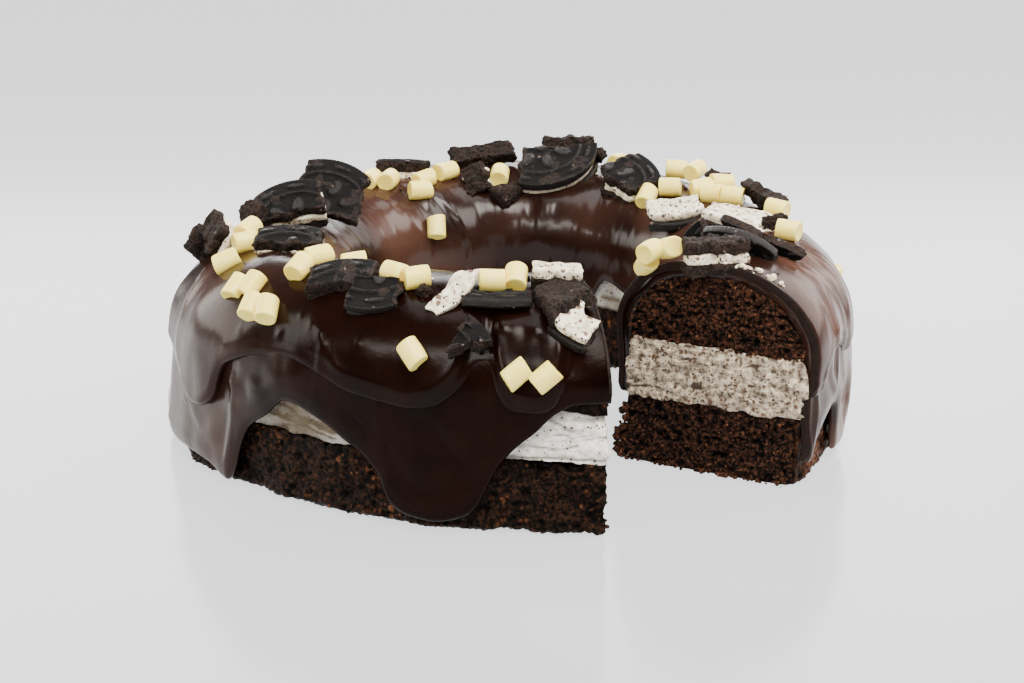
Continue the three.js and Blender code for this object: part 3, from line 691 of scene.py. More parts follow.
def waver(angle, height, reach, seed):
    """A few slow waves of a wall in and out, different at each height: the mean of three sines."""
    turn = np.radians(angle)
    waves = np.sin(17 * turn + seed + height * 0.21) + np.sin(29 * turn - 2 * seed + height * 0.33)
    return reach * (waves + np.sin(43 * turn + 3 * seed - height * 0.4)) / 3


def lower_outer(angle, height):
    """Radius of the lower sponge's crust: a wavering wall, rounded under at its foot, with one flake."""
    flake = 4 * hump(angle, -153, 7) * bell(height - 1.6, 2)
    under = 3.2 * np.clip(1 - height / 2.4, 0, 1) ** 2
    return BASE_RADIUS - 0.4 + waver(angle, height, 0.9, 1) + flake - under


def lower_inner(angle, height):
    """Radius of the lower sponge's wall in the hole."""
    return HOLE_RADIUS + 0.5 + waver(angle, height, 0.4, 4) + 2 * np.clip(1 - height / 2.5, 0, 1) ** 2


def cream_rounding(height):
    """0 halfway up the cream and 1 at its borders: the fourth power of the distance from the middle."""
    middle = (LOWER_TOP + CREAM_TOP) / 2
    return np.abs((height - middle) / (CREAM_TOP - middle)) ** 4


def cream_outer(angle, height):
    """Radius of the cream's outside, bulging between the sponges."""
    return outer_wall(height) - 1.2 + waver(angle, height, 0.9, 7) - 0.9 * cream_rounding(height)


def cream_inner(angle, height):
    """Radius of the cream's wall in the hole."""
    return hole_wall(height) + 0.6 + waver(angle, height, 0.4, 9) + 0.6 * cream_rounding(height)


def end_stations(count):
    """Shares, depths behind the cuts and insets of the loops: at each end the last ones turn in like a cup,
    so that the finer face on the cut can stand in them."""
    ends = len(END_DEPTHS) - 1
    share = np.concatenate([np.zeros(ends), np.linspace(0, 1, count), np.ones(ends)])[:, None]
    middle = np.full(count - 2, END_DEPTHS[-1])
    behind = np.concatenate([END_DEPTHS, middle, END_DEPTHS[::-1]])[:, None]
    inset = np.concatenate([END_INSETS, 0 * middle, END_INSETS[::-1]])[:, None]
    return share, behind, inset


def drawn_in(values, inset):
    """A loop's radii or heights drawn in towards their middle by the inset."""
    middle = (values.max(axis=1, keepdims=True) + values.min(axis=1, keepdims=True)) / 2
    half = (values.max(axis=1, keepdims=True) - values.min(axis=1, keepdims=True)) / 2
    return middle + (values - middle) * (1 - inset / half)


def layer_grid(outer, inner, low, high):
    """Loops up the outer wall, across the top, down the hole's wall and back along the bottom. A radius and
    its angle depend on each other, so they are found in a few rounds."""
    share, behind, inset = end_stations(LAYER_STATIONS)
    up = np.linspace(low, high, WALL_ROWS)
    down = np.linspace(high, low, HOLE_ROWS)
    across = np.linspace(0, 1, TOP_ROWS + 2)[1:-1]
    heights = np.concatenate([up, np.full(TOP_ROWS, high), down, np.full(TOP_ROWS, low)])[None, :] + 0 * share
    inward = np.concatenate([np.zeros(WALL_ROWS), across, np.ones(HOLE_ROWS), across[::-1]])[None, :]
    radius = blend_values(120.0, 62.0, inward) + 0 * share
    for _ in range(OUTLINE_ROUNDS):
        angle = angle_between_cuts(share, radius, heights, behind)
        radius = blend_values(outer(angle, heights), inner(angle, heights), inward)
    is_wall = (inward < 0.01) | (inward > 0.99)
    radius = drawn_in(radius, inset)
    heights = drawn_in(heights, inset)
    angle = angle_between_cuts(share, radius, heights, behind)
    return ring_point(angle, radius, heights), is_wall & (inset == 0)


def crust_relief(points):
    """Crust in millimetres: slow lumps, grains that stand proud, and pits. Also how hollow each place is."""
    lumps = 0.7 * layered_noise(points, 7, 3, 21)
    distance, number = cells(points, 1.9, 31)
    grains = 0.85 * mound(distance, 1.25) * (0.2 + number)
    pit_distance, pit_number = cells(points, 3.4, 47)
    pits = pit(pit_distance, 0.7 + 1.1 * pit_number) * (pit_number > 0.3)
    # How hollow a place is becomes painted shade: dark in pits and low places, lighter on grains and lumps.
    hollow = np.clip(1.8 * pits + 0.6 - 1.5 * grains - 0.4 * lumps, 0, 1)
    return lumps + grains - 1.5 * pits - 0.45, hollow


# Dark smears in the spread cream: lines of (angle, height), each with a half width.
SMEARS = [
    ([(-92, 26.2), (-88, 25.6), (-82, 26.4), (-76, 26)], 0.55),
    ([(-85.8, 41.2), (-84.2, 39.4), (-82.4, 37), (-81, 36.2)], 0.5),
    ([(-84, 34.6), (-80, 33), (-76, 33.6)], 0.3), ([(-88, 30.4), (-84, 29.6), (-80.5, 30.4)], 0.3),
    ([(-140, 33), (-134, 35), (-128, 33), (-120, 29)], 0.5), ([(-136, 30), (-128, 29.4), (-120, 26.5)], 0.4),
]


def smear_lines(points):
    """How near each point is to a smear's line: e to the minus square of the distance over its half width."""
    run = axis_angle(points) * MM_A_DEGREE
    height = points[..., 2] + 0.8 * noise(points, (5, 5, 2), 63)
    near = np.zeros(run.shape)
    for line, width in SMEARS:
        for (angle, low), (next_angle, high) in zip(line[:-1], line[1:]):
            span = np.array([(next_angle - angle) * MM_A_DEGREE, high - low])
            aside = run - angle * MM_A_DEGREE
            share = np.clip((aside * span[0] + (height - low) * span[1]) / (span @ span), 0, 1)
            apart = np.hypot(aside - share * span[0], height - low - share * span[1])
            near = np.maximum(near, bell(apart, width))
    return near


def cream_relief(points):
    """Spread cream in millimetres: folds from the knife, slow lumps and fine tears, and its smears. The mark
    also carries painted shade at the left of the gap and inside the hole.
    """
    folds = 0.95 * noise(points, (15, 15, 4.2), 61) + 0.35 * noise(points, (6, 6, 2.2), 67)
    lumps = 0.5 * layered_noise(points, 8, 2, 71)
    tears = 0.3 * layered_noise(points, 2.2, 3, 73)
    smear = 0.6 * smooth_step(0.35, 0.85, noise(points, (13, 13, 1.8), 79) + 0.35 * noise(points, 2, 83))
    lines = smear_lines(points)
    # Painted shade: darker cream at the left of the gap, under the chocolate's overhang, and inside the hole,
    # with drip streaks there.
    in_hole = axis_distance(points) < 80
    hole_shade_with_drips = in_hole * np.clip(0.6 + 0.4 * noise(points, (4, 4, 12), 85), 0, 1)
    painted_shade = 0.95 * hump(axis_angle(points), -128, 14) + hole_shade_with_drips
    return folds + lumps + tears - 0.35 * lines - 0.3, np.clip(np.maximum(0.8 * lines, smear) + painted_shade, 0, 1)


# %% Lower sponge and cream behind the cuts
def add_layer(name, node, grid, wall, relief, mark, material):
    """A layer's body, and its flat ends behind the cuts. Its relief is pushed out where wall is 1, and low at
    the right, just behind the cut, the crust turns a lighter orange-brown: browned crust with painted light
    on it."""
    heights, values = relief(grid)
    grid = grid + grid_normals(grid) * (heights * wall)[..., None]
    faces, caps = loft_faces(*grid.shape[:2])
    # Low at the right, just behind the cut: browned crust with painted light on it.
    toast_and_painted_light = 0.85 * hump(axis_angle(grid), -31, 5) * (grid[..., 2] < LOWER_TOP + 1)
    piece = add_mesh(name, grid, faces, caps, [material], marks={mark: values, "toast_and_painted_light": toast_and_painted_light})
    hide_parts(node)
    print(f"{name}: {2 * len(faces)} triangles, {volume_of(grid, faces, caps):.0f} ml")


lower_grid, lower_wall = layer_grid(lower_outer, lower_inner, 0.0, LOWER_TOP + 0.2)
lower_grid[..., 2] = np.maximum(lower_grid[..., 2], 0)
add_layer("lower_sponge_body", "lower_sponge", lower_grid, lower_wall, crust_relief, "hollow",
          crust_material)
cream_grid, cream_wall = layer_grid(cream_outer, cream_inner, LOWER_TOP, CREAM_TOP + 0.2)
add_layer("cream_filling_body", "cream_filling", cream_grid, cream_wall, cream_relief, "smear",
          cream_side_material)


# %% [markdown]
# The upper sponge fills the arch. All but its foot is under chocolate, so its grid follows the path over the
# dome with even rows and closes along the cream.

# %% Upper sponge
ARCH_ROWS = 44
FOOT_HANG = 3.8
FOOT_HANG_ANGLE = -77


def upper_grid():
    """Loops over the arch from the outside to the hole, and straight back along the cream. Beside the left
    cut the foot hangs a little lower."""
    share, behind, inset = end_stations(LAYER_STATIONS // 2)
    along = np.linspace(ARCH_FOOT + 0.01, HOLE_FOOT_ALONG - 0.01, ARCH_ROWS)
    radius, height = path_point(along, 0.0)
    back = np.linspace(radius[-1], radius[0], 8)[1:-1]
    radius = drawn_in(np.concatenate([radius, back])[None, :] + 0 * share, inset)
    height = np.concatenate([height, np.full(len(back), float(ARCH_FOOT))])
    height = drawn_in(height[None, :] + 0 * share, inset)
    angle = angle_between_cuts(share, radius, height, behind)
    near_foot = np.concatenate([np.exp(-(along - ARCH_FOOT) / 3), np.clip((back - 112) / 8, 0, 1)])[None, :]
    height = height - FOOT_HANG * hump(angle, FOOT_HANG_ANGLE, 8) * near_foot
    return ring_point(angle, radius, height)


def buried_relief(points):
    """Crust at the foot, which shows at one place, and slow lumps only under the chocolate."""
    bare = smooth_step(ARCH_FOOT + 4, ARCH_FOOT + 1, points[..., 2]) * (axis_distance(points) > 100)
    crust, hollow = crust_relief(points)
    return blend_values(0.3 * noise(points, 5, 91) - 0.3, 0.6 * crust, bare), hollow * bare


add_layer("upper_sponge_body", "upper_sponge", upper_grid(), 1, buried_relief, "hollow",
          crust_material)

# %% [markdown]
# ## The poured chocolate
#
# It was poured twice. The first pouring runs down in tongues between bare gaps, and the second covers the
# crest and stops in folds, with a rounded lip that throws a shadow. Their edges are curves of height against
# angle through measured places. The rows of each grid start on its own edge and turn round the lip, so the
# lip stays round however steep the edge is. Two meshes keep the fold a true step that one would blur.

# %% Edges of the two pourings
OUTER_EDGE = [
    (-164, 3), (-156, 4.6), (-149, 4.6), (-143, 1.8), (-141, 7), (-139.5, 15), (-137, 24), (-133, 30),
    (-128, 37.5), (-121, 33), (-117, 28), (-114.5, 25), (-111.7, 19), (-109.6, 9), (-106.5, 5.4),
    (-102.5, 4.3), (-97.5, 7), (-95.7, 10.5), (-94.2, 17), (-92.2, 25), (-89.5, 31.5), (-87, 36),
    (-84, 42.5), (-81, 45.6), (-76, 45.8), (-50, 30), (-37.5, 9.5), (-36, 15.5), (-34, 19), (-31, 21.7),
    (-27, 23), (-25.2, 14), (-24, 4), (-19, 3), (-12, 20), (-3, 30), (6, 12), (14, 8), (22, 26), (34, 34),
    (42, 14), (50, 5), (58, 22), (70, 36), (82, 30), (90, 9), (98, 6), (106, 27), (120, 38), (132, 22),
    (140, 6), (148, 12), (158, 31), (170, 24), (180, 8), (188, 3.5),
]
HOLE_EDGE = [
    (-170, 20), (-150, 8), (-132, 26), (-112, 30), (-92, 16), (-76, 22), (-52, 25), (-38, 14), (-20, 6),
    (-4, 24), (16, 31), (34, 29), (46, 34), (54, 37), (60, 28), (68, 14), (80, 5), (94, 12), (108, 30),
    (126, 9), (146, 27), (170, 12),
]
FOLD_EDGE = [
    (-176, 40), (-165, 36), (-158, 30), (-153.5, 26.5), (-151, 25), (-148.8, 25.6), (-146.4, 28),
    (-144.8, 31.5), (-143.6, 38), (-141.8, 44), (-138, 47.6), (-134, 50), (-129, 51.4), (-122, 49),
    (-116.6, 45.5), (-110.6, 43.8), (-106.8, 42.6), (-102.6, 43.8), (-99.6, 46.8), (-97.6, 50.2),
    (-95.6, 54.5), (-93.8, 54.5), (-92.6, 48), (-90.2, 43.6), (-86.8, 43.2), (-84.4, 45.4), (-82.6, 50),
    (-80, 58), (-76, 62), (-60, 50), (-38, 33), (-30, 46), (-20, 38), (-8, 52), (10, 44), (30, 55), (52, 40),
    (75, 54), (95, 38), (118, 53), (140, 40), (160, 50),
]


def ring_curve(knots):
    """A curve through knots of (angle, height) that closes on itself and never overshoots: each knot's slope
    is the harmonic mean of its two chords, or level where they change sign."""
    knots = sorted((half_turned(angle), height) for angle, height in knots)
    before = [(angle - 360, height) for angle, height in knots[-2:]]
    after = [(angle + 360, height) for angle, height in knots[:2]]
    angles, heights = np.array(before + knots + after, dtype=float).T
    chords = np.diff(heights) / np.diff(angles)
    same = chords[1:] * chords[:-1] > 0
    mean = 2 * chords[1:] * chords[:-1] / np.where(same, chords[1:] + chords[:-1], 1)
    slopes = np.concatenate([[0], np.where(same, mean, 0), [0]])

    def at(angle):
        turned = half_turned(angle)
        k = np.clip(np.searchsorted(angles, turned, side="right") - 1, 0, len(angles) - 2)
        width = angles[k + 1] - angles[k]
        t = (turned - angles[k]) / width
        rise_in = slopes[k] * width * (t - 2 * t**2 + t**3)
        rise_out = slopes[k + 1] * width * (t**3 - t**2)
        return heights[k] + (heights[k + 1] - heights[k]) * (3 * t**2 - 2 * t**3) + rise_in + rise_out

    return at


# How strongly the chocolate's clear coat mirrors at each angle round the cake, and how much painted sheen
# lightens its colour. In front it is nearly black and mirrors little, and the sides and the back mirror the
# windows and carry a paler painted sheen.
GLOSS = [
    (-162, 0.3), (-146, 0.32), (-134, 0.27), (-122, 0.12), (-98, 0.03), (-80, 0.05), (-42, 0.4), (-26, 0.42),
    (0, 0.45), (40, 0.4), (90, 0.34), (135, 0.5), (170, 0.36),
]
PAINTED_SHEEN = [
    (-170, 0.3), (-150, 0.22), (-138, 0.1), (-120, 0), (-48, 0), (-38, 0.3), (-24, 0.62), (10, 0.55),
    (60, 0.15), (90, 0.15), (110, 0.28), (135, 0.42), (165, 0.32),
]
gloss_round = ring_curve(GLOSS)
painted_sheen_round = ring_curve(PAINTED_SHEEN)
outer_edge = ring_curve(OUTER_EDGE)
hole_edge = ring_curve(HOLE_EDGE)
fold_edge = ring_curve(FOLD_EDGE)
print(f"in front the pourings end at {outer_edge(-100):.1f} and {fold_edge(-100):.1f} mm")

# %% Thickness of the chocolate
GLAZE_TOP = 3.6
GLAZE_SIDE = 1.9
GLAZE_INNER = 3.2
FOLD_THICKNESS = 1.8
CREST_THICKNESS = GLAZE_TOP + 0.6 * FOLD_THICKNESS
LIP_BEAD = 1.1
LIP_LENGTH = 3.4
LIP_UNDER = 0.9
FOLD_LIP = 3.0
SOFT_LIP = 4.4
SOFT_RIM = 0.55
EDGE_RADIUS = 122

# Lobes: a line of (angle, distance along the path) whose left side stands higher, by a rise that is reached
# over the lip and fades away inside. Each has its line, rise, lip and fade.
LOBES = [
    ([(-103.4, 39), (-101, 36.2), (-98.8, 29.8), (-96.4, 25.4), (-93.4, 22.6)], 1.0, 2.2, 11),
    ([(-112, 33), (-108, 27), (-105, 19), (-101.5, 12.5)], 0.7, 3, 9),
    ([(-124.5, 62), (-121.6, 56), (-121.9, 49.6), (-122.5, 42.5), (-123.5, 38)], 0.45, 0.8, 2.4),
    ([(-30, 66), (-31.2, 56), (-31.5, 46), (-30, 34), (-27.5, 24)], 1.1, 2.2, 9),
    ([(-20, 62), (-22.5, 48), (-21.5, 36), (-18, 22)], 0.9, 2.6, 10),
    ([(121, 104), (117, 111), (113, 119), (111, 127)], 1.2, 2.6, 9),
    ([(88, 100), (84, 112), (86, 124), (80, 131)], 0.8, 3, 12),
    ([(-163, 60), (-160.5, 50), (-161.5, 40), (-158, 31)], 0.8, 2.4, 8),
    ([(-172, 58), (-169, 47), (-171, 35), (-167, 22), (-169, 12)], 0.9, 2.6, 9),
    ([(-155, 20), (-150, 15.5), (-146.5, 12), (-144, 7)], 0.6, 2.4, 7),
]
# Bumps: angle, distance along the path, half width and height. The last eight are small bubbles.
BUMPS = [
    (-139.9, 38.6, 3.4, 2.3), (-134.6, 39.6, 4.4, 2.1), (-137.4, 43.6, 3.2, 1.0), (-129.5, 42.6, 4.2, 1.0),
    (-126.4, 46.5, 4.2, 0.8), (-141, 30.5, 4.2, 1.1), (-146.2, 18, 4.2, 1.0), (-107, 23, 5.5, 0.9),
    (-91.6, 64, 3.2, 1.0), (-86.5, 63.6, 3.2, 1.0), (-81.6, 58.6, 3.2, 0.9), (-97.6, 37, 5, 0.9),
    (130, 116, 7, 1.2), (122, 108, 5, 1.0), (136, 106, 6, 0.9), (127, 125, 5, 0.9), (100, 112, 7, 0.7),
    (-138.4, 55.4, 0.9, 0.45), (-130.2, 57, 1.0, 0.5), (-124.4, 60.4, 0.9, 0.4), (-121.8, 59.6, 1.0, 0.5),
    (-114.8, 57.6, 0.9, 0.45), (-127, 62.4, 0.7, 0.35), (-133.6, 60, 0.7, 0.35), (-141, 50, 1.0, 0.4),
]


def edge_lean(curve, angle):
    """The cosine of an edge's slope: lengths across the edge are heights over it times this."""
    step = 0.5
    slope = (curve(angle + step) - curve(angle - step)) / (2 * step * math.radians(1) * EDGE_RADIUS)
    return 1 / np.sqrt(1 + slope**2)


def lobe_height(lobe, run, along):
    """A lobe's height from the signed distance to its line: an S-curve up over the lip, then a slow decay."""
    knots, rise, lip, fade = lobe
    line = np.array([(angle * MM_A_DEGREE, distance) for angle, distance in knots], dtype=float)
    nearest = np.full(run.shape, 1e9)
    signed = np.zeros(run.shape)
    for start, end in zip(line[:-1], line[1:]):
        span = end - start
        aside, above = run - start[0], along - start[1]
        share = np.clip((aside * span[0] + above * span[1]) / np.hypot(*span) ** 2, 0, 1)
        apart = np.hypot(aside - share * span[0], above - share * span[1])
        left = span[0] * above - span[1] * aside > 0
        signed = np.where(apart < nearest, np.where(left, apart, -apart), signed)
        nearest = np.minimum(nearest, apart)
    from_ends = np.minimum(*(np.hypot(run - end[0], along - end[1]) for end in (line[0], line[-1])))
    step = smooth_step(-lip, lip, signed)
    return rise * step * bell(nearest, fade) * smooth_step(0, 7, from_ends + 0.4 * nearest)


def drape(angle, along):
    """Waves in the chocolate, in millimetres: broad hollows, ridges that run down the sides, lobes, bumps."""
    angle = half_turned(angle)
    run, along = np.broadcast_arrays(angle * MM_A_DEGREE, along)
    turn = np.radians(angle)
    flat = np.stack([110 * np.cos(turn) + 0 * run, 110 * np.sin(turn) + 0 * run, along], axis=-1)
    broad = 0.42 * noise(flat, 26, 101) + 0.26 * noise(flat, 11, 103) + 0.07 * noise(flat, 5, 105)
    down = 0.34 * noise(flat, (10, 10, 60), 107) + 0.1 * noise(flat, (5, 5, 40), 109)
    down = down * (1 + 1.2 * hump(angle, -160, 16) - 0.5 * hump(angle, -12, 22))
    down = down + 0.2 * noise(flat, (6, 6, 12), 115) * hump(angle, -152, 20)
    fine = noise(flat, (2.8, 2.8, 6), 111) * (0.03 + 0.07 * smooth_step(CREST_ALONG - 20, CREST_ALONG, along))
    on_side = 1 - smooth_step(ARCH_FOOT + 6, ARCH_FOOT + 24, along)
    in_hole = 0.35 * smooth_step(HOLE_FOOT_ALONG - 20, HOLE_FOOT_ALONG - 4, along)
    held_in = 0.3 * hump(angle, -172, 30) + 1.4 * hump(angle, 92, 34) + 0.5 * hump(angle, 0, 30)
    wave = broad + fine + down * np.maximum(on_side, in_hole) - held_in * on_side
    for lobe in LOBES:
        wave = wave + lobe_height(lobe, run, along)
    for centre, distance, width, height in BUMPS:
        wave = wave + height * bell(np.hypot(run - centre * MM_A_DEGREE, along - distance), width)
    return wave


def lip_softness(angle):
    """0 where the fold's lip is round and throws a shadow, 1 where it has sunk into the chocolate below."""
    angle = half_turned(angle)
    front = smooth_step(-141, -133, angle)
    return front * (1 - 0.4 * smooth_step(-50, -35, angle)) * (1 - smooth_step(150, 175, angle))


def shoulder_thickness(height):
    """The first pouring's thickness without its bead: thin on the wall and thicker on the shoulder."""
    return blend_values(GLAZE_SIDE, GLAZE_TOP, smooth_step(30, 66, height))


def first_thickness(angle, along):
    """The first pouring, with a bead along its lower edge."""
    _, height = path_point(along, 0.0)
    above = (along - outer_edge(angle)) * edge_lean(outer_edge, angle)
    return shoulder_thickness(height) + LIP_BEAD * bell(above - 5, 5)


def full_thickness(angle, along):
    """Both pourings together: the second rises off the first in a quarter circle over its lip's length, or in
    an S-curve with a faint rim where its lip is soft. The crest and the hole's wall have their own."""
    fold_along = along_at_height(fold_edge(angle))
    above = (along - fold_along) * edge_lean(fold_edge, angle)
    round_lip = np.sqrt(1 - (1 - np.clip(above / FOLD_LIP, 0, 1)) ** 2)
    softness = lip_softness(angle)
    high = smooth_step(45, 54, fold_edge(angle))
    lip = blend_values(round_lip, smooth_step(0, SOFT_LIP + 13 * high, above), softness)
    rim = SOFT_RIM * softness * (1 - high) * bell(above - 4, 2.2)
    fold = FOLD_THICKNESS * (1 + 1.3 * hump(angle, -147, 8)) * lip
    over = smooth_step(CREST_ALONG - 12, CREST_ALONG + 6, along)
    outside = blend_values(first_thickness(angle, along) + fold + rim, CREST_THICKNESS, over)
    down = smooth_step(HOLE_FOOT_ALONG - 8, HOLE_FOOT_ALONG + 5, along)
    return blend_values(outside, GLAZE_INNER, down)


print(f"on the crest in front the chocolate is {full_thickness(-100, CREST_ALONG):.1f} mm thick")


# %% [markdown]
# A lip is half an ellipse in section: from the back of the chocolate down round its lowest line and up to
# its front. The grid's loops start with that turn, go up the front, and come back behind.

# %% Loops of the two pourings
POUR_STATIONS = 720
POUR_SHARES = np.linspace(0, 1, POUR_STATIONS)[:, None]
LIP_TURN = np.linspace(0, np.pi, 9)
LEAST_LEAN = 0.35
GLAZE_BEHIND = 0.35
WAVE_UNDER = 0.6


def lip_rows(edge, lean, back, front, under, length):
    """Distance along the path and offset round a lip: the offset goes from back to front as half a cosine,
    and the distance dips to the edge and comes up to its length, stretched where the edge is steep."""
    turn = LIP_TURN[None, :]
    rise = np.where(turn < np.pi / 2, under * (1 - np.sin(turn)), length * (1 - np.sin(turn)))
    return edge + rise / np.maximum(lean, LEAST_LEAN), back + (front - back) * (1 - np.cos(turn)) / 2


def station_angles(radius, height):
    """The angle of each loop at one radius and height, as a column."""
    column = np.ones_like(POUR_SHARES)
    return angle_between_cuts(POUR_SHARES, radius * column, height * column, GLAZE_BEHIND)


def placed_rows(along, offset):
    """Rows of distance and offset as points, with every loop in its own plane between the cuts."""
    radius, height = path_point(along, offset)
    angle = angle_between_cuts(POUR_SHARES, radius, height, GLAZE_BEHIND)
    return ring_point(angle, radius, height), angle


def eased(first, last, count):
    """Shares of the way from first to last for each loop, closer together at the start."""
    t = np.linspace(0, 1, count + 1)[1:][None, :]
    return first + (last - first) * (0.55 * t + 0.45 * t * t)


def first_pouring():
    """Lip, front up to under the second pouring, and back."""
    angle = station_angles(123, 20)
    edge = outer_edge(angle)
    lean = edge_lean(outer_edge, angle)
    top = along_at_height(fold_edge(angle)) + 9
    lip_along, _ = lip_rows(edge, lean, 0, 1, LIP_UNDER, LIP_LENGTH)
    front_top = np.maximum(top, lip_along[:, -1:] + 6)
    front_along = eased(lip_along[:, -1:], front_top, 46)
    thick = first_thickness(angle, lip_along[:, -1:]) + WAVE_UNDER * drape(angle, lip_along[:, -1:])
    lip_along, lip_offset = lip_rows(edge, lean, GAP, GAP + thick, LIP_UNDER, LIP_LENGTH)
    front_offset = GAP + first_thickness(angle, front_along) + WAVE_UNDER * drape(angle, front_along)
    back_along = blend_values(front_along[:, -1:], lip_along[:, :1], np.linspace(0, 1, 9)[None, :-1])
    back_offset = np.full(back_along.shape, GAP)
    along = np.concatenate([lip_along, front_along, back_along], axis=1)
    offset = np.concatenate([lip_offset, front_offset, back_offset], axis=1)
    return placed_rows(along, offset)


def second_pouring():
    """Outer lip on the first pouring, over the crest, down to the lip in the hole, and back."""
    angle = station_angles(118, 50)
    inner_angle = station_angles(61, 30)
    edge = along_at_height(fold_edge(angle))
    lean = edge_lean(fold_edge, angle)
    hole_end = PATH_LENGTH - hole_edge(inner_angle)
    start = edge + FOLD_LIP / np.maximum(lean, LEAST_LEAN)
    front_along = start + (hole_end - LIP_LENGTH - start) * np.linspace(0, 1, 98)[None, 1:]
    angles = blend_values(angle, inner_angle, (front_along - start) / (hole_end - start))
    front_offset = GAP + full_thickness(angles, front_along) + drape(angles, front_along)
    sunk = 0.5 + 0.5 * lip_softness(angle)
    under = GAP + first_thickness(angle, edge) + WAVE_UNDER * drape(angle, edge) - sunk
    tip = GAP + full_thickness(angle, start) + drape(angle, start)
    lip_along, lip_offset = lip_rows(edge, lean, under, tip, LIP_UNDER, FOLD_LIP)
    turn = LIP_TURN[None, ::-1]
    rise_out = np.where(turn > np.pi / 2, LIP_LENGTH, LIP_UNDER) * (1 - np.sin(turn))
    hole_along = (hole_end - rise_out)[:, 1:]
    hole_offset = (GAP + (front_offset[:, -1:] - GAP) * (1 - np.cos(turn)) / 2)[:, 1:]
    back_along = blend_values(hole_along[:, -1:], lip_along[:, :1], np.linspace(0, 1, 18)[None, 1:-1])
    back_offset = blend_values(GAP, under, smooth_step(16, 6, back_along - edge))
    along = np.concatenate([lip_along, front_along, hole_along, back_along], axis=1)
    offset = np.concatenate([lip_offset, front_offset, hole_offset, back_offset], axis=1)
    return placed_rows(along, offset)


def add_pouring(name, pouring, least_gloss):
    """One pouring with its gloss and its painted sheen, which noise makes patchy."""
    grid, angle = pouring()
    grid[..., 2] = np.maximum(grid[..., 2], 0.4)
    faces, caps = loft_faces(*grid.shape[:2])
    painted_sheen = painted_sheen_round(angle) * np.clip(0.9 + 0.9 * noise(grid, (14, 14, 20), 113), 0, 1.4)
    marks = {"gloss": np.maximum(gloss_round(angle), least_gloss), "painted_sheen": painted_sheen}
    piece = add_mesh(name, grid, faces, caps, [glaze_material], marks=marks)
    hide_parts("chocolate_glaze")
    print(f"{name}: {2 * len(faces)} triangles, {volume_of(grid, faces, caps):.0f} ml")


add_pouring("first_pouring", first_pouring, 0.0)
add_pouring("second_pouring", second_pouring, 0.11)

# %% [markdown]
# ## The cut faces
#
# A knife tears sponge and smears cream, and that is what one looks at here. Each layer's face is a fine grid
# over its section, pushed in and out by pores, tears and smears, then closed behind by a skirt and a flat
# back that lie inside the layer's body. The grid stands 0.3 mm apart, so a pore of a millimetre has a shape.

# %% Faces on the cuts
FACE_PITCH = 0.3
BAND_OUTSIDE = 2.8
BAND_IN_HOLE = 1.8


def section_points(section, across, up, left):
    """A section's grid placed on the left or the right cut: the angle and the outline depend on each other,
    so they are found in a few rounds."""
    s, t = np.meshgrid(np.linspace(0, 1, across), np.linspace(0, 1, up), indexing="ij")
    angle = np.full(s.shape, LEFT_CUT_ANGLE + 360.0 if left else NEAR_RIGHT_CUT)
    for _ in range(OUTLINE_ROUNDS):
        radius, height = section(s, t, angle)
        if not left:
            angle = right_cut_angle(radius, height)
    return ring_point(angle, radius, height)


def edge_distance(grid):
    """Distance in millimetres from each point to the nearest border of its grid."""
    across = np.linalg.norm(np.diff(grid, axis=0), axis=-1)
    up = np.linalg.norm(np.diff(grid, axis=1), axis=-1)
    from_start = np.pad(np.cumsum(across, axis=0), ((1, 0), (0, 0)))
    from_foot = np.pad(np.cumsum(up, axis=1), ((0, 0), (1, 0)))
    sides = np.minimum(from_start, from_start[-1:] - from_start)
    return np.minimum(sides, np.minimum(from_foot, from_foot[:, -1:] - from_foot))


def closed_relief(grid, normal, heights, depth, left):
    """A relief closed to a solid: its border is carried back by depth and joined by one flat face."""
    front = grid + normal * heights[..., None]
    padded = np.pad(front, ((1, 1), (1, 1), (0, 0)), mode="edge")
    plain = np.pad(grid, ((1, 1), (1, 1), (0, 0)), mode="edge") - normal * depth
    border = np.ones(padded.shape[:2], dtype=bool)
    border[1:-1, 1:-1] = False
    padded[border] = plain[border]
    rows, columns = padded.shape[:2]
    number = np.arange(rows * columns).reshape(rows, columns)
    faces = np.stack([number[:-1, :-1], number[1:, :-1], number[1:, 1:], number[:-1, 1:]], axis=-1)
    faces = faces.reshape(-1, 4)
    loop = np.concatenate([number[:-1, 0], number[-1, :-1], number[:0:-1, -1], number[0, :0:-1]])
    if left:
        return padded, faces[:, ::-1], [loop]
    return padded, faces, [loop[::-1]]


def add_cut_faces(name, node, section, relief, depth, counts, material, mark):
    """A layer's two cut faces as one piece."""
    parts, values = [], []
    for left in (False, True):
        normal = LEFT_FACE_NORMAL if left else RIGHT_FACE_NORMAL
        grid = section_points(section, *counts, left)
        heights, hollow = relief(grid, edge_distance(grid), grid @ (-normal))
        padded, faces, caps = closed_relief(grid, normal, heights, depth, left)
        padded[..., 2] = np.maximum(padded[..., 2], 0)
        parts.append((padded, faces, caps))
        values.append(np.pad(hollow, 1, mode="edge").ravel())
    points, faces, caps = join_parts(parts)
    piece = add_mesh(name, points, faces, caps, [material], marks={mark: np.concatenate(values)})
    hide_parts(node)
    print(f"{name}: {2 * len(faces)} triangles, {volume_of(points, faces, caps):.1f} ml")


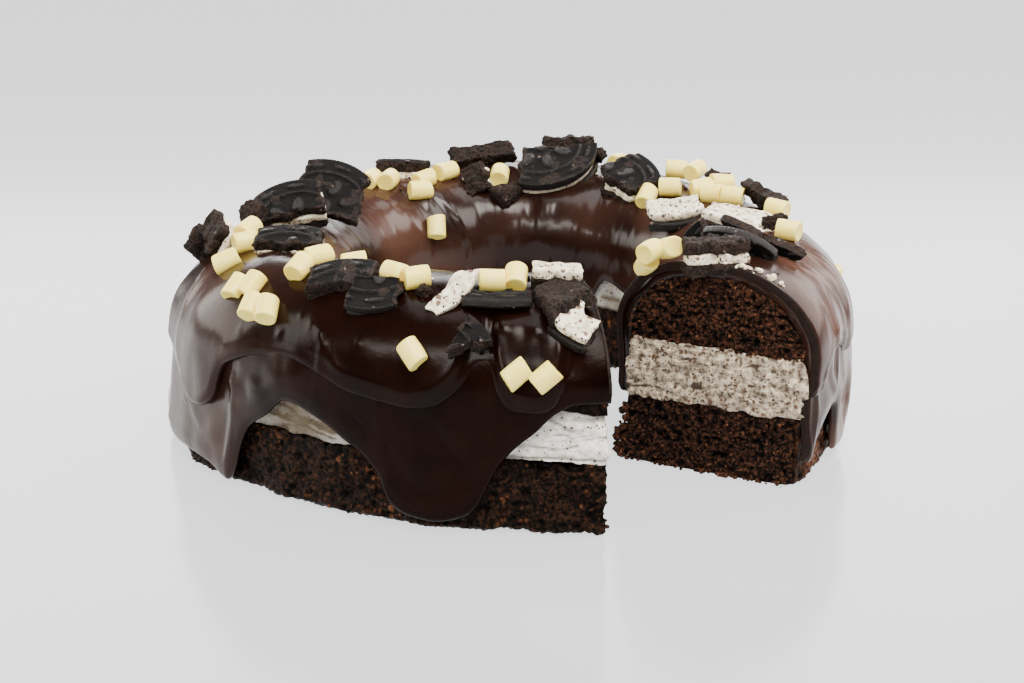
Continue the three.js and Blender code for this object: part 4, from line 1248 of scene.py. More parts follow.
# %% Crumb and smear
def crumb_relief(points, border, _):
    """Torn sponge in millimetres: lumps, crumbs that stand proud, pores, tears and a frayed edge."""
    lumps = 0.6 * layered_noise(points, 4.5, 3, 121)
    crumb, crumb_number = cells(points, 1.3, 131)
    crumbs = 1.3 * mound(crumb, 0.9) * (0.15 + crumb_number)
    wide, wide_number = cells(points, 2.8, 141)
    small, small_number = cells(points, 1.1, 151)
    large, large_number = cells(points, 7.5, 155)
    pores = pit(wide, 0.4 + 1.2 * wide_number) * (wide_number > 0.35)
    pores = np.maximum(pores, np.clip(1.5 - large / 1.3, 0, 1) * (large_number > 0.62))
    pin_holes = pit(small, 0.5) * (small_number > 0.45)
    tears = smooth_step(0.5, 0.75, noise(points, (7, 7, 1.6), 161) + 0.35 * noise(points, 1.5, 163))
    depth = 1.9 * pores**0.7 + 0.8 * pin_holes + 1.0 * tears
    frayed = 0.8 * np.exp(-border / 0.5) * (1 + 0.6 * noise(points, 1.4, 167))
    # How hollow a place is becomes painted shade: dark in pores, pin holes and tears, lighter on crumbs and
    # lumps.
    hollow = np.clip(1.6 * pores + 0.9 * pin_holes + 0.8 * tears + 0.45 - 1.0 * crumbs - 0.5 * lumps, 0, 1)
    return np.clip(lumps + crumbs - depth - frayed - 0.6, -2.4, 0.9), hollow


def smear_relief(points, border, _):
    """Cut cream in millimetres: curved smears left by the knife, lumps, and pits from dragged crumbs."""
    bent = points + np.array([0, 0, 1.0]) * (2.2 * noise(points, 9, 169))[..., None]
    smears = 0.45 * noise(bent, (11, 11, 1.6), 171) + 0.34 * noise(bent, (5, 5, 0.9), 173)
    lumps = 0.4 * layered_noise(points, 4, 3, 175)
    distance, number = cells(points, 2.9, 177)
    bumps = 0.6 * mound(distance, 0.9) * (number > 0.6)
    pits = 0.9 * pit(distance, 0.9) * (number < 0.3)
    smear = smooth_step(0.4, 0.95, noise(bent, (10, 10, 1.3), 181) + 0.45 * noise(bent, 1.2, 183))
    worn = 0.45 * smooth_step(0.0, 0.7, layered_noise(bent, (6, 6, 2.4), 3, 187))
    heights = smears + lumps + bumps - pits - 0.35 * np.exp(-border / 0.6) + 0.1
    return heights, np.clip(np.maximum(smear, pits) + worn, 0, 1)


def chocolate_relief(points, border, _):
    """Cut chocolate in millimetres: nearly flat, with faint knife marks and a rounded edge."""
    marks = 0.05 * noise(points, (6, 6, 0.8), 191) + 0.05 * noise(points, 1.5, 193)
    return marks - 0.3 * np.exp(-border / 0.3), np.zeros(points.shape[:-1])


def ragged(s, row, reach, seed):
    """An uneven border of a section along its width, in millimetres: noise of four sizes."""
    places = np.stack([60 * s, 0 * s + row, 0 * s], axis=-1)
    return reach * layered_noise(places, 5, 4, seed)


def at_right(angle):
    """Whether an angle lies at the right cut."""
    return half_turned(angle) > -60


def lower_section(s, t, angle):
    """The lower sponge: from the hole's wall to the crust, and from the plate to the cream. At the right cut
    its foot bulges into the hole."""
    height = t * (LOWER_TOP + 0.3)
    right = at_right(angle)
    bulge = right * (2.6 * bell(height - 6, 6) + ragged(t, 3, 0.9, 201))
    frayed = ragged(t, 9, 0.35, 203)
    inner = lower_inner(angle, height) - bulge + 0.4
    return blend_values(inner, lower_outer(angle, height) + frayed - 1.0, s), height


def cream_section(s, t, angle):
    """The cream, with ragged borders over both sponges."""
    low = LOWER_TOP - 0.2 + ragged(s, 0, 0.8, 205)
    high = CREAM_TOP + 0.3 + ragged(s, 7, 0.9, 207)
    height = blend_values(low, high, t)
    right = at_right(angle)
    ends = (0.2 + 0.7 * right) * np.abs(2 * t - 1) ** 3
    inner = cream_inner(angle, height) - 1.4 * right + ends + ragged(t, 5, 0.4, 209)
    return blend_values(inner, cream_outer(angle, height) + 4.2 * right - 1.5 - ends, s), height


def upper_section(s, t, angle):
    """The upper sponge: columns from the cream up to the arch, as far as the chocolate's band."""
    radius, top = arch_point(blend_values(0.004, 0.996, s), 1.0)
    return radius, blend_values(ARCH_FOOT - 0.8, top, t)


def chocolate_section(s, t, angle):
    """The chocolate from its lip in the hole (s 0) to its outer lip, and through its thickness (t)."""
    start = PATH_LENGTH - hole_edge(angle)
    end = outer_edge(angle)
    along = blend_values(start, end, s)
    radius, height = path_point(along, 0.0)
    near_end = np.minimum((along - end) / LIP_LENGTH, (start - along) / LIP_LENGTH)
    rounding = np.sqrt(1 - (1 - np.clip(near_end, 0.02, 1)) ** 2)
    share_of_crest = smooth_step(CREST_ALONG - 12, CREST_ALONG + 6, along)
    outer = GAP + full_thickness(angle, along) + drape(angle, along) * blend_values(0.8, 1.0, share_of_crest)
    band = blend_values(BAND_OUTSIDE, BAND_IN_HOLE, smooth_step(CREST_ALONG, HOLE_FOOT_ALONG, along))
    inner = np.minimum(outer - band, outer * rounding - 0.4)
    return path_point(along, blend_values(inner, outer * rounding, t))


def face_counts(width, height):
    """Grid points across and up a face of this size in millimetres, one pitch apart."""
    return int(width / FACE_PITCH), int(height / FACE_PITCH)


add_cut_faces("lower_sponge_cut", "lower_sponge", lower_section, crumb_relief, 2.5, face_counts(60, 24.8),
              lower_crumb, "hollow")
add_cut_faces("cream_filling_cut", "cream_filling", cream_section, smear_relief, 2.5, face_counts(60, 20.9),
              cut_cream_in_painted_shade, "smear")
add_cut_faces("upper_sponge_cut", "upper_sponge", upper_section, crumb_relief, 2.5, face_counts(76, 24),
              upper_crumb, "hollow")
add_cut_faces("chocolate_cut", "chocolate_glaze", chocolate_section, chocolate_relief, 1.2, (330, 12),
              glaze_cut_material, "hollow")

# %% [markdown]
# ## Broken cookies
#
# A cookie is a disc 45 mm across, and a piece is what is left when it snaps along straight breaks. Seen from
# the piece's own middle, the distance to its outline in each direction is the least of the distances to the
# round rim and to each break. That gives one row of a grid, and rows from the middle of the face over the
# edge to the middle of the back give the piece. Rims get ribs, breaks get torn crumb, and faces get a pressed
# pattern: a boss, petals, a ring and dashes.

# %% Where a piece lies
COOKIE_RADIUS = 22.5
WAFER = 4.2
COOKIE_CREAM = 3.2
COOKIE_ARC_STEPS = 16
DOME_STEPS = np.linspace(1, 0, 11)


def outer_thickness(angle, height):
    """Thickness of the chocolate on the outside as the construction has it."""
    bead = LIP_BEAD * bell(height - outer_edge(angle) - 5, 5)
    fold = smooth_step(fold_edge(angle) - 1, fold_edge(angle) + 2.5, height)
    return shoulder_thickness(height) + FOLD_THICKNESS * fold + bead


def dome_at(angle, distance):
    """Height and slope of the chocolate's outer face at a distance from the hole's axis."""
    _, bare_height = arch_point(DOME_STEPS)
    thickness = np.where(DOME_STEPS > 0.55, outer_thickness(angle, bare_height), CREST_THICKNESS)
    radius, height = arch_point(DOME_STEPS, 2 * GAP + thickness)
    places = ring_point(np.full_like(radius, angle), radius, height)[::-1]
    reach, heights = axis_distance(places), places[:, 2]
    k = int(np.clip(np.searchsorted(reach, distance) - 1, 0, len(reach) - 2))
    slope = (heights[k + 1] - heights[k]) / (reach[k + 1] - reach[k])
    return heights[k] + slope * (distance - reach[k]), slope


def turned(axis, degrees):
    """A rotation about an axis as a 3 by 3 array."""
    return np.array(Matrix.Rotation(math.radians(degrees), 3, axis))


def setting(piece):
    """A flat piece is spun in its plane, then leant so that its face looks towards a direction."""
    angle, radius, lift = piece["at"]
    towards = piece["towards"]
    turn = turned("Z", towards) @ turned("Y", piece["lean"]) @ turned("Z", piece["spin"] - towards)
    height, _ = dome_at(angle, radius)
    return turn, radius * arrow(angle) + [0, 0, height + lift]


def repeatable(seed):
    """Numbers from -1 to 1: each state is the last times 1664525 plus 1013904223, kept under 2 to the 32."""
    while True:
        seed = (seed * 1664525 + 1013904223) % 4294967296
        yield seed / 4294967296 * 2 - 1


def piece_middle(breaks, seed):
    """The middle of a broken outline: the disc's sixteen corners, clipped by each break in turn, with one
    ragged point added on every break, and then averaged."""
    random = repeatable(seed)
    turns = 2 * np.pi * np.arange(COOKIE_ARC_STEPS) / COOKIE_ARC_STEPS
    outline = [COOKIE_RADIUS * np.array([math.cos(turn), math.sin(turn)]) for turn in turns]
    for direction, distance in breaks:
        away = arrow(direction)[:2]
        kept = []
        for point, following in zip(outline, outline[1:] + outline[:1]):
            depth = distance - point @ away
            next_depth = distance - following @ away
            if depth >= 0:
                kept.append(point)
            if depth * next_depth < 0:
                kept.append(point + (following - point) * depth / (depth - next_depth))
                if depth > 0:
                    kept.append(None)
        outline = []
        for k, point in enumerate(kept):
            if point is None:
                before, after = kept[k - 1], kept[(k + 1) % len(kept)]
                point = before + (after - before) * (0.5 + 0.12 * next(random))
                point = point + away * (-0.6 + 0.6 * next(random))
            outline.append(point)
    return np.mean(outline, axis=0)


# %% Shape of one layer of a piece
WAFER_DIRECTIONS = 240
CREAM_DIRECTIONS = 150
SIDE_ROWS = 7
RIM_RIBS = 88
CREAM_TUCKED = 0.15


def piece_reach(breaks, middle, directions, disc_radius, inset, bite):
    """Distance from the middle to the outline in each direction, and how much a break bounds it there. A bite
    is a circle taken out of the piece: the place of its middle and its radius."""
    turn = 2 * np.pi * np.arange(directions) / directions
    ray = np.stack([np.cos(turn), np.sin(turn)], axis=-1)
    along = ray @ middle
    to_rim = -along + np.sqrt(np.maximum(along**2 - middle @ middle + disc_radius**2, 0))
    to_break = np.full(directions, 99.0)
    for direction, distance in breaks:
        away = arrow(direction)[:2]
        facing = ray @ away
        here = (distance - inset - middle @ away) / np.where(facing > 1e-6, facing, 1e-6)
        to_break = np.where(facing > 1e-6, np.minimum(to_break, here), to_break)
    if bite:
        aside = np.array(bite[:2]) - middle
        towards = ray @ aside
        under_root = towards**2 - aside @ aside + bite[2] ** 2
        met = towards - np.sqrt(np.maximum(under_root, 0))
        to_break = np.where((under_root > 0) & (towards > 0), np.minimum(to_break, met), to_break)
    broken = smooth_step(-0.8, 0.5, to_rim - to_break)
    return ray, np.minimum(to_rim, to_break), broken


def embossing(place):
    """The pressed face in millimetres: a boss, petals round it, a raised line, and dashes along the rim."""
    r = np.hypot(place[..., 0], place[..., 1])
    turn = np.arctan2(place[..., 1], place[..., 0])
    boss = smooth_step(0, 0.4, 1 - (r / 3.2) ** 2)
    petal_turn = ((turn * 7 / (2 * np.pi)) % 1 - 0.5) * 2 * np.pi / 7
    petals = smooth_step(0, 0.45, 1 - ((r - 9.2) / 4.2) ** 2 - (petal_turn * r / 2.4) ** 2)
    line = bell(r - 15.6, 0.6)
    dash_turn = ((turn * 11 / (2 * np.pi)) % 1 - 0.5) * 2 * np.pi / 11
    dashes = smooth_step(0, 0.6, 1 - ((r - 19) / 1.0) ** 2 - (dash_turn * r / 4.0) ** 2)
    return 1.2 * np.maximum(boss, petals) + 1.25 * line + 0.9 * dashes - 0.75


def layer_loops(piece, middle, low, high, kind, faces_up, faces_down, seed):
    """One wafer or cream layer as loops from the middle of its face to the middle of its back. Breaks are
    torn, rims have ribs, and faces are pressed, chipped and worn. Also how torn and how grooved it is."""
    is_cream = kind == "cream"
    directions = CREAM_DIRECTIONS if is_cream else WAFER_DIRECTIONS
    disc = COOKIE_RADIUS - (1.7 if is_cream else 0.25)
    break_inset = 0.5 if is_cream else 0.2
    ray, reach, broken = piece_reach(piece["breaks"], middle, directions, disc, break_inset, piece["bite"])
    face_rows = 26 if (faces_up or is_cream) else 5
    back_rows = 20 if faces_down else 5
    edge = 0.7 if is_cream else 0.45
    side = np.linspace(0, 1, SIDE_ROWS)
    face, back = np.linspace(0.04, 1, face_rows), np.linspace(1, 0.04, back_rows)
    share = np.concatenate([face, np.ones(SIDE_ROWS), back])
    inset = np.concatenate([np.full(face_rows, edge), edge * (2 * side - 1) ** 4, np.full(back_rows, edge)])
    level = np.concatenate([np.ones(face_rows), 1 - side, np.zeros(back_rows)])[:, None]
    share, inset, reach, broken = share[:, None], inset[:, None], reach[None, :], broken[None, :]
    z = blend_values(low, high, level) + 0 * reach
    radial = np.maximum(share * (reach - edge) + (edge - inset) * (share > 0.99), 0.3)
    flat = radial[..., None] * ray[None]
    cookie_place = flat + middle
    torn_points = np.concatenate([cookie_place, z[..., None]], axis=-1)
    at_side = (share > 0.999) * 1.0
    near_side = smooth_step(0.8, 1.0, share)
    torn = 1.1 * layered_noise(torn_points, 3.2, 3, seed) + 0.45 * noise(torn_points, 1.0, seed + 3)
    line_tear = 1.1 * noise(torn_points * [1, 1, 0], 3.4, seed + 5)
    outward = (torn * at_side + line_tear * near_side - 0.7 * near_side) * broken
    if is_cream:
        outward = 0.6 * outward + 0.35 * at_side * (1 - broken) * noise(torn_points, 3.0, seed + 7)
    else:
        turn = np.arctan2(cookie_place[..., 1], cookie_place[..., 0])
        outward = outward + 0.06 * at_side * (1 - broken) * np.cos(turn * RIM_RIBS)
    flat = flat + ray[None] * outward[..., None]
    up = (level > 0.999) * 1.0
    down = (level < 0.001) * 1.0
    crumbly = 1.0 if piece["crumbly"] else 0.0
    near_rim = smooth_step(0.9, 1.0, share)
    torn_rim = broken * near_rim
    torn_mark = np.maximum(torn_rim, 0.85 * crumbly) + 0 * z
    if is_cream:
        bumps = 0.4 * layered_noise(torn_points, (7, 7, 7), 3, seed + 11) - 0.25
        z = z + up * bumps * (1.0 if faces_up else 0.2) - down * bumps * 0.2
        return np.concatenate([flat, z[..., None]], axis=-1), torn_mark, 0 * z
    grain, grain_number = cells(torn_points, 1.7, seed + 21)
    grains = mound(grain, 1.05) * (0.2 + grain_number) - 0.3
    bumps = (0.1 + 0.6 * crumbly) * layered_noise(torn_points, 1.6 + 1.6 * crumbly, 3, seed + 9)
    bumps = bumps + 0.55 * crumbly * grains
    chipped = smooth_step(0.35, 0.6, layered_noise(torn_points, 5, 3, seed + 13))
    chips = -0.5 + 0.5 * layered_noise(torn_points, 1.6, 2, seed + 15)
    pressed = blend_values(embossing(cookie_place + ray[None] * outward[..., None]), chips, chipped)
    worn = (1 - 0.8 * broken * near_rim) * (1 - crumbly)
    z = z + up * (bumps + pressed * worn * faces_up) - down * (bumps + pressed * worn * faces_down)
    on_face = np.maximum(up * faces_up, down * faces_down)
    torn_mark = np.maximum(torn_mark, 0.8 * chipped * on_face)
    # The groove mark becomes painted shade in the wafer's colour, and a matt finish.
    groove_shade = smooth_step(0.1, -0.45, pressed) * (1 - chipped) * worn * on_face
    return np.concatenate([flat, z[..., None]], axis=-1), torn_mark, groove_shade


# %% [markdown]
# Each piece is named for its place on the cake, with what it is made of from the bottom up. at gives the
# angle, the distance from the hole's axis and the lift over the chocolate; breaks gives each break's
# direction and its distance from the cookie's middle. Then come how far the piece leans, the direction that
# its face then looks towards, and its spin. Crumbly ones show no pressed face, and crumbed cream more specks.

# %% The cookie pieces
def cookie(name, made_of, breaks, at, lean, towards, spin, seed, **more):
    """A piece broken off a cookie; more may give its thickness, a bite, and that it is crumbly or crumbed."""
    usual = dict(thickness=None, bite=None, crumbly=False, crumbed=False, made_of=made_of, breaks=breaks)
    return usual | dict(name=name, at=at, lean=lean, towards=towards, spin=spin, seed=seed) | more


def lump(name, size, at, seed, lean=0, towards=-90):
    """A crumbly shard without a face; size is its length, width and height."""
    return dict(name=name, size=size, at=at, lean=lean, towards=towards, spin=0, seed=seed)


COOKIES = [
    lump("crumb_far_left", (14, 11, 16), (-172, 112, 5), 3, 20, 200),
    cookie("ridged_piece_left", "cream wafer", [(-90, -8), (180, 6), (0, 4.5)],
           (-166, 107, 7.4), 62, -150, 8, 5, crumbly=True),
    lump("crumb_left_back", (12, 10, 11), (-179.5, 96, 5.5), 7),
    cookie("half_cookie_left", "wafer cream wafer", [(-90, -5), (0, 12), (180, 14)],
           (172, 83, 5.5), 36, -100, 10, 11, crumbed=True),
    cookie("big_wafer_left", "wafer", [(-90, 4), (180, 12), (0, 14)], (157, 74.6, 10.8), 40, -80, -10, 13),
    cookie("sandwich_left_front", "cream wafer", [(-90, -9), (180, 12), (0, 13)],
           (-153, 87, 3), 16, -95, -4, 17, crumbed=True),
    cookie("wafer_behind_left", "cream wafer", [(-90, -9), (0, 11), (180, 11)], (120, 89, 2), 6, 80, -4, 19),
    cookie("pile_front_left", "wafer wafer", [(-90, -8), (180, 13), (0, 11)],
           (-123, 101, 0.4), 24, -115, -10, 23, thickness=8.4),
    cookie("pile_front_right", "wafer wafer", [(90, -8), (0, 10), (180, 8)],
           (-114, 107, 0), 34, -108, -14, 29, thickness=7.4),
    lump("crumb_front", (7, 6, 6), (-106, 104, 1), 31),
    cookie("cream_flake_front", "cream", [(90, -12.5), (45, -5), (180, 11)],
           (-100, 107, 3), 52, -108, 40, 37, thickness=2.8, crumbed=True),
    cookie("wafer_front_edge", "wafer", [(90, -9), (180, 11.5), (0, 11.5)],
           (-92.5, 107, 0.8), -4, -90, -4, 41),
    cookie("triangle_front_slope", "wafer", [(-78, -2), (150, -3)],
           (-96.3, 118.2, 2.4), 42, -97, 0, 43, thickness=5.6),
    cookie("cream_top_front_right", "wafer cream", [(-90, 1), (0, 8), (180, 9), (90, 7)],
           (-82.5, 99, 3.6), 12, -85, -3, 47, crumbed=True),
    cookie("cream_chunk_at_cut", "wafer cream", [(90, -7.5), (180, 8), (0, 6)],
           (-80.3, 117.4, 1.9), 42, -80, -28, 59, crumbed=True, bite=(3.0, -6.4, 5.2)),
    cookie("slab_front_right", "wafer", [(-70, -6), (180, 10), (10, 10)],
           (-82.5, 109, 2.4), 14, -120, 20, 53, thickness=5.6, crumbly=True),
    cookie("slab_back", "wafer", [(-90, 0), (90, 8.2), (10, 14), (190, 13)],
           (98.3, 90, 4.2), 40, -95, 6, 61, thickness=6.2, crumbly=True),
    cookie("ridged_piece_back", "cream wafer", [(-90, -9), (180, 5), (0, 6)],
           (101.3, 72.5, 1), 62, -120, 6, 67, crumbly=True),
    lump("lump_back", (13, 12, 16), (92.6, 66.5, 0.6), 71, 20),
    cookie("round_cookie_back", "wafer cream wafer", [(172, 8), (90, 0.5)], (76, 76.8, 2.4), 30, -100, 0, 73),
    cookie("slab_behind_round", "wafer", [(-90, 5), (90, 9), (0, 10), (180, 11)],
           (76, 90.5, 5.8), 78, -90, 0, 79, thickness=7, crumbly=True),
    lump("crumb_behind_round", (6, 6, 8), (67.5, 90, 6), 83),
    cookie("round_cookie_right", "wafer cream wafer", [(-133, -1), (120, 8.9), (180, 0.7), (-65, 11)],
           (54, 77.2, 2.6), 25, -90, 0, 89),
    cookie("cream_face_right", "wafer cream", [(90, -7), (180, 10.5), (0, 11)],
           (25.5, 68, 3.6), 18, -110, 4, 97, crumbed=True),
    cookie("wafer_end_back_right", "wafer", [(-90, -6), (90, 13), (0, 6), (180, 7)],
           (35.6, 98.5, 4.6), 60, 35, 125, 99, crumbly=True),
    cookie("long_wafer_back_right", "wafer", [(90, -12), (0, 16)],
           (18, 98, 5), 68, 20, 112, 101, crumbly=True),
    cookie("cream_face_far_right", "wafer cream", [(-110, 2), (170, 8), (90, 13)],
           (-1, 84, 0.5), 12, -60, -14, 103, crumbed=True),
    cookie("small_curved_wafer", "wafer", [(-90, -12), (0, 5), (180, 6)],
           (-18.5, 70, 4.4), 98, -120, 16, 107),
    cookie("curved_wafer_on_edge", "wafer", [(-90, -9), (180, 13), (0, 15)],
           (-31.3, 89.5, 2.6), 120, -118, -40, 109),
    cookie("long_wafer_on_edge", "wafer", [(90, -14), (180, 17), (0, 16)],
           (-26.2, 95, 4), 112, -112, -46, 113),
    lump("crumb_far_right", (11, 7, 6.5), (-6.1, 93.3, 3), 127),
    cookie("sandwich_at_cut", "wafer cream wafer", [(-90, -9), (180, 11), (0, 12)],
           (-40.6, 88.5, 1.9), -4, -60, 3, 131, crumbed=True, crumbly=True),
]
LAYER_THICKNESS = {"wafer": WAFER, "cream": COOKIE_CREAM}


def add_cookie(piece):
    """A broken piece: its layers stacked from the bottom up, cream and wafers in their own finishes."""
    kinds = piece["made_of"].split()
    total = sum(LAYER_THICKNESS[kind] for kind in kinds)
    thickness = piece["thickness"] or total
    middle = piece_middle(piece["breaks"], piece["seed"])
    turn, place = setting(piece)
    parts, marks, grooves, choice = [], [], [], []
    finishes = [int(kind == "cream") for kind in kinds]
    low = -thickness / 2
    for k, kind in enumerate(kinds):
        depth = LAYER_THICKNESS[kind] * thickness / total
        tucked = CREAM_TUCKED if kind == "cream" and len(kinds) > 1 else 0
        is_top = k + 1 == len(kinds)
        high = low + depth + (0 if is_top else tucked)
        loops, torn, groove_shade = layer_loops(piece, middle, low - tucked, high, kind, is_top, k == 0,
                                          piece["seed"] * 7 + k * 31)
        low += depth
        faces, caps = loft_faces(*loops.shape[:2])
        parts.append((loops @ turn.T + place, faces, caps))
        marks.append(torn.ravel())
        grooves.append(groove_shade.ravel())
        choice.append(np.full(len(faces), finishes[k]))
    points, faces, caps = join_parts(parts)
    cream = crumbed_cream_material if piece["crumbed"] else cookie_cream_material
    mesh_piece = add_mesh(piece["name"] + "_piece", points, faces, caps, [wafer_material, cream],
                          np.concatenate([*choice, np.repeat(finishes, 2)]),
                          {"broken": np.concatenate(marks), "groove_shade": np.concatenate(grooves)})
    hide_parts(piece["name"])
    return 2 * len(faces)


def shard_reach(directions, seed, planes=13):
    """Reach of a faceted shard in each direction: the least of its distances to some random planes."""
    random = repeatable(seed)
    reach = np.full(directions.shape[:-1], 1.25)
    for _ in range(planes):
        facing = np.array([next(random), next(random), next(random)])
        facing /= np.linalg.norm(facing)
        distance = 0.8 + 0.16 * next(random)
        towards = directions @ facing
        reach = np.where(towards > 0.05, np.minimum(reach, distance / np.maximum(towards, 0.05)), reach)
    return reach


def ball_directions(rows, columns):
    """Directions of a ball's loops from its top to its foot."""
    polar, turn = np.meshgrid(np.linspace(0.06, np.pi - 0.06, rows),
                              np.linspace(0, 2 * np.pi, columns, endpoint=False), indexing="ij")
    return np.stack([np.sin(polar) * np.cos(turn), np.sin(polar) * np.sin(turn), np.cos(polar)], axis=-1)


def add_lump(piece):
    """A crumbly shard stretched to its size, with lumps of three sizes and grains on it."""
    ball = ball_directions(56, 90)
    loops = ball * (shard_reach(ball, piece["seed"]))[..., None] * np.array(piece["size"]) / 2
    lumps = 0.1 * layered_noise(loops, 4, 3, piece["seed"])
    distance, number = cells(loops, 1.9, piece["seed"] + 9)
    grains = 0.5 * mound(distance, 1.2) * (0.3 + number)
    loops = loops * (0.93 + lumps)[..., None] + ball * (grains - 0.3 + 0.25 * noise(loops, 0.9, 3))[..., None]
    turn, place = setting(piece)
    loops = loops @ turn.T + place
    faces, caps = loft_faces(*loops.shape[:2])
    mesh_piece = add_mesh(piece["name"] + "_piece", loops, faces, caps, [wafer_material],
                          marks={"broken": np.ones(loops.shape[:2])})
    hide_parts(piece["name"])
    return 2 * len(faces)


cookie_triangles = sum((add_lump if "size" in piece else add_cookie)(piece) for piece in COOKIES)
print(f"{len(COOKIES)} cookie pieces, {cookie_triangles} triangles")

# %% [markdown]
# ## White chocolate barrels
#
# Each barrel is a short rod, 7.4 mm thick and 8.4 mm long, with rounded ends and a slight dimple in them. It
# is turned on its own axis like a pot on a wheel: a profile of distance along the rod and radius, carried
# round. It lies along a heading on the chocolate, tilted to the chocolate's own slope.

# %% Barrels
BARREL_RADIUS = 3.6
BARREL_LENGTH = 8.4
BARREL_SUNK = 1.2
BARREL_ROUND = 36
BARRELS = {
    "barrels_left_back": [(-164.7, 96.3, 58, 2.5, 10), (-159.9, 99.1, 14)],
    "barrel_left_edge": [(-154.7, 107.7, 8)],
    "barrels_left_high": [(-134.3, 100.4, 60), (-135.1, 92, 30, 0.5)],
    "barrels_left_slope": [(-143.7, 113, 52), (-136.8, 116.3, 66), (-140.4, 111.1, 44),
                           (-133.1, 116, 84)],
    "barrels_back_left": [(132, 84.5, 75), (128, 80, 75)],
    "barrels_back": [(118, 76, 45), (122, 70.5, 25)],
    "barrel_back_mid": [(110, 79, 40)],
    "barrel_in_hole_side": [(121, 60.5, 95)],
    "barrel_behind_pile": [(-125, 91.4, 20)],
    "barrels_front_left": [(-113, 97.4, -40), (-108.1, 99.7, 22)],
    "barrel_front_slope_left": [(-105.1, 119.7, -42)],
    "barrel_front_slope_mid": [(-89.7, 123, 20, 0.6)],
    "barrel_front_slope_right": [(-85.7, 123.8, 12, 0.6)],
    "barrels_front": [(-94, 100.2, -4), (-89.7, 98.6, 86, 0.5, 24)],
    "barrel_back_end": [(94.4, 74.2, -95, 0.5, 8)],
    "barrel_back_right": [(65, 99, 70)],
    "barrels_right_back": [(47.7, 95.2, -12, 2.4), (43, 97, 60, 3.2, 10)],
    "barrels_right_inner": [(44.1, 72.7, 62, 0, 10), (40.8, 80.2, -18, 0.6)],
    "barrels_right_heap": [(33.5, 87.1, 20, 0.8), (28.1, 86.4, -25, 0.5), (32.1, 94.4, 8, 2.2),
                           (23.2, 90.2, -16, 0.5)],
    "barrel_far_right": [(5.7, 96.9, -35, 1.8)],
    "barrel_far_right_edge": [(-13.1, 98.9, -20, 1)],
    "barrels_at_cut": [(-50.9, 74.5, 55, 3, 10), (-45.2, 76.3, -62, 3), (-47.8, 68.8, -72)],
}
SIDE_BARRELS = {
    "barrel_right_side_high": [12.5, 45.5, 12],
    "barrel_right_side_low": [6, 34.5, -8],
}


def barrel_profile():
    """Distance along the rod and radius: out over a dimpled end, round a corner, and the same mirrored."""
    corner = 0.5
    half = BARREL_LENGTH / 2
    end_radius = np.linspace(0.25, BARREL_RADIUS - corner, 6)
    end = half - 0.35 * (1 - (end_radius / (BARREL_RADIUS - corner)) ** 2)
    turn = np.linspace(0, np.pi / 2, 6)[1:]
    side = np.linspace(half - corner, 0, 5)[1:]
    along = np.concatenate([end, half - corner + corner * np.cos(turn), side])
    radius = np.concatenate([end_radius, BARREL_RADIUS - corner + corner * np.sin(turn),
                             BARREL_RADIUS + 0.1 * np.cos(side / half * np.pi / 2)])
    return np.concatenate([along, -along[-2::-1]]), np.concatenate([radius, radius[-2::-1]])


def barrel_frame(angle, distance, heading, lift=0, raised=0):
    """Where a barrel lies on the chocolate: its side, long and upright directions, and its middle."""
    height, slope = dome_at(angle, distance)
    outward = arrow(angle)
    normal = np.array([*(-slope * outward[:2]), 1.0])
    normal /= np.linalg.norm(normal)
    along = arrow(heading)
    along[2] = -(along @ normal) / normal[2]
    along /= np.linalg.norm(along)
    along = along * math.cos(math.radians(raised)) + normal * math.sin(math.radians(raised))
    side = np.cross(normal, along)
    side /= np.linalg.norm(side)
    middle = outward * distance + np.array([0, 0, height]) + normal * (BARREL_RADIUS - BARREL_SUNK + lift)
    return np.stack([side, along, -np.cross(along, side)]), middle


def side_barrel_frame(angle, height, leans):
    """Where a barrel stands that is stuck to the steep side."""
    away = float(outer_wall(height) + GAP + outer_thickness(angle, height) + BARREL_RADIUS - BARREL_SUNK)
    turn = turned("Z", angle) @ turned("X", 90 + leans)
    return turn.T, ring_point(float(angle), away, float(height))


def barrel_loops(axes, middle, seed):
    """The profile carried round the rod, with faint dents and ends that are cut a little aslant."""
    along, radius = barrel_profile()
    turn = 2 * np.pi * np.arange(BARREL_ROUND) / BARREL_ROUND
    x = radius[:, None] * np.cos(turn)[None]
    z = radius[:, None] * np.sin(turn)[None]
    slants = 0.16 * np.array([math.sin(2.3 * seed), math.cos(1.7 * seed)])
    far = along[:, None] > 0
    aslant = (np.where(far, slants[0], slants[1]) * x) * np.abs(along[:, None]) / BARREL_LENGTH * 2
    rod = np.stack([x, along[:, None] + aslant, -z], axis=-1)
    dents = 1 + 0.03 * noise(rod + 40 * seed, 4, seed) + 0.008 * noise(rod, 1.1, seed + 1)
    return (rod * dents[..., None]) @ axes + middle


barrel_middles = []


def add_barrels(name, frames, seed):
    """The barrels of one node as one piece."""
    parts = []
    for k, (axes, middle) in enumerate(frames):
        barrel_middles.append(middle)
        loops = barrel_loops(axes, middle, seed + k)
        parts.append((loops, *loft_faces(*loops.shape[:2])))
    points, faces, caps = join_parts(parts)
    if volume_of(points - np.mean(points, axis=0), faces, caps) < 0:
        faces = faces[:, ::-1]
        caps = [cap[::-1] for cap in caps]
    piece = add_mesh(name + "_piece", points, faces, caps, [white_chocolate_material])
    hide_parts(name)


for number, (name, group) in enumerate(BARRELS.items()):
    add_barrels(name, [barrel_frame(*barrel) for barrel in group], 500 + 10 * number)
for number, (name, barrel) in enumerate(SIDE_BARRELS.items()):
    add_barrels(name, [side_barrel_frame(*barrel)], 800 + 10 * number)
print(f"{len(barrel_middles)} barrels")

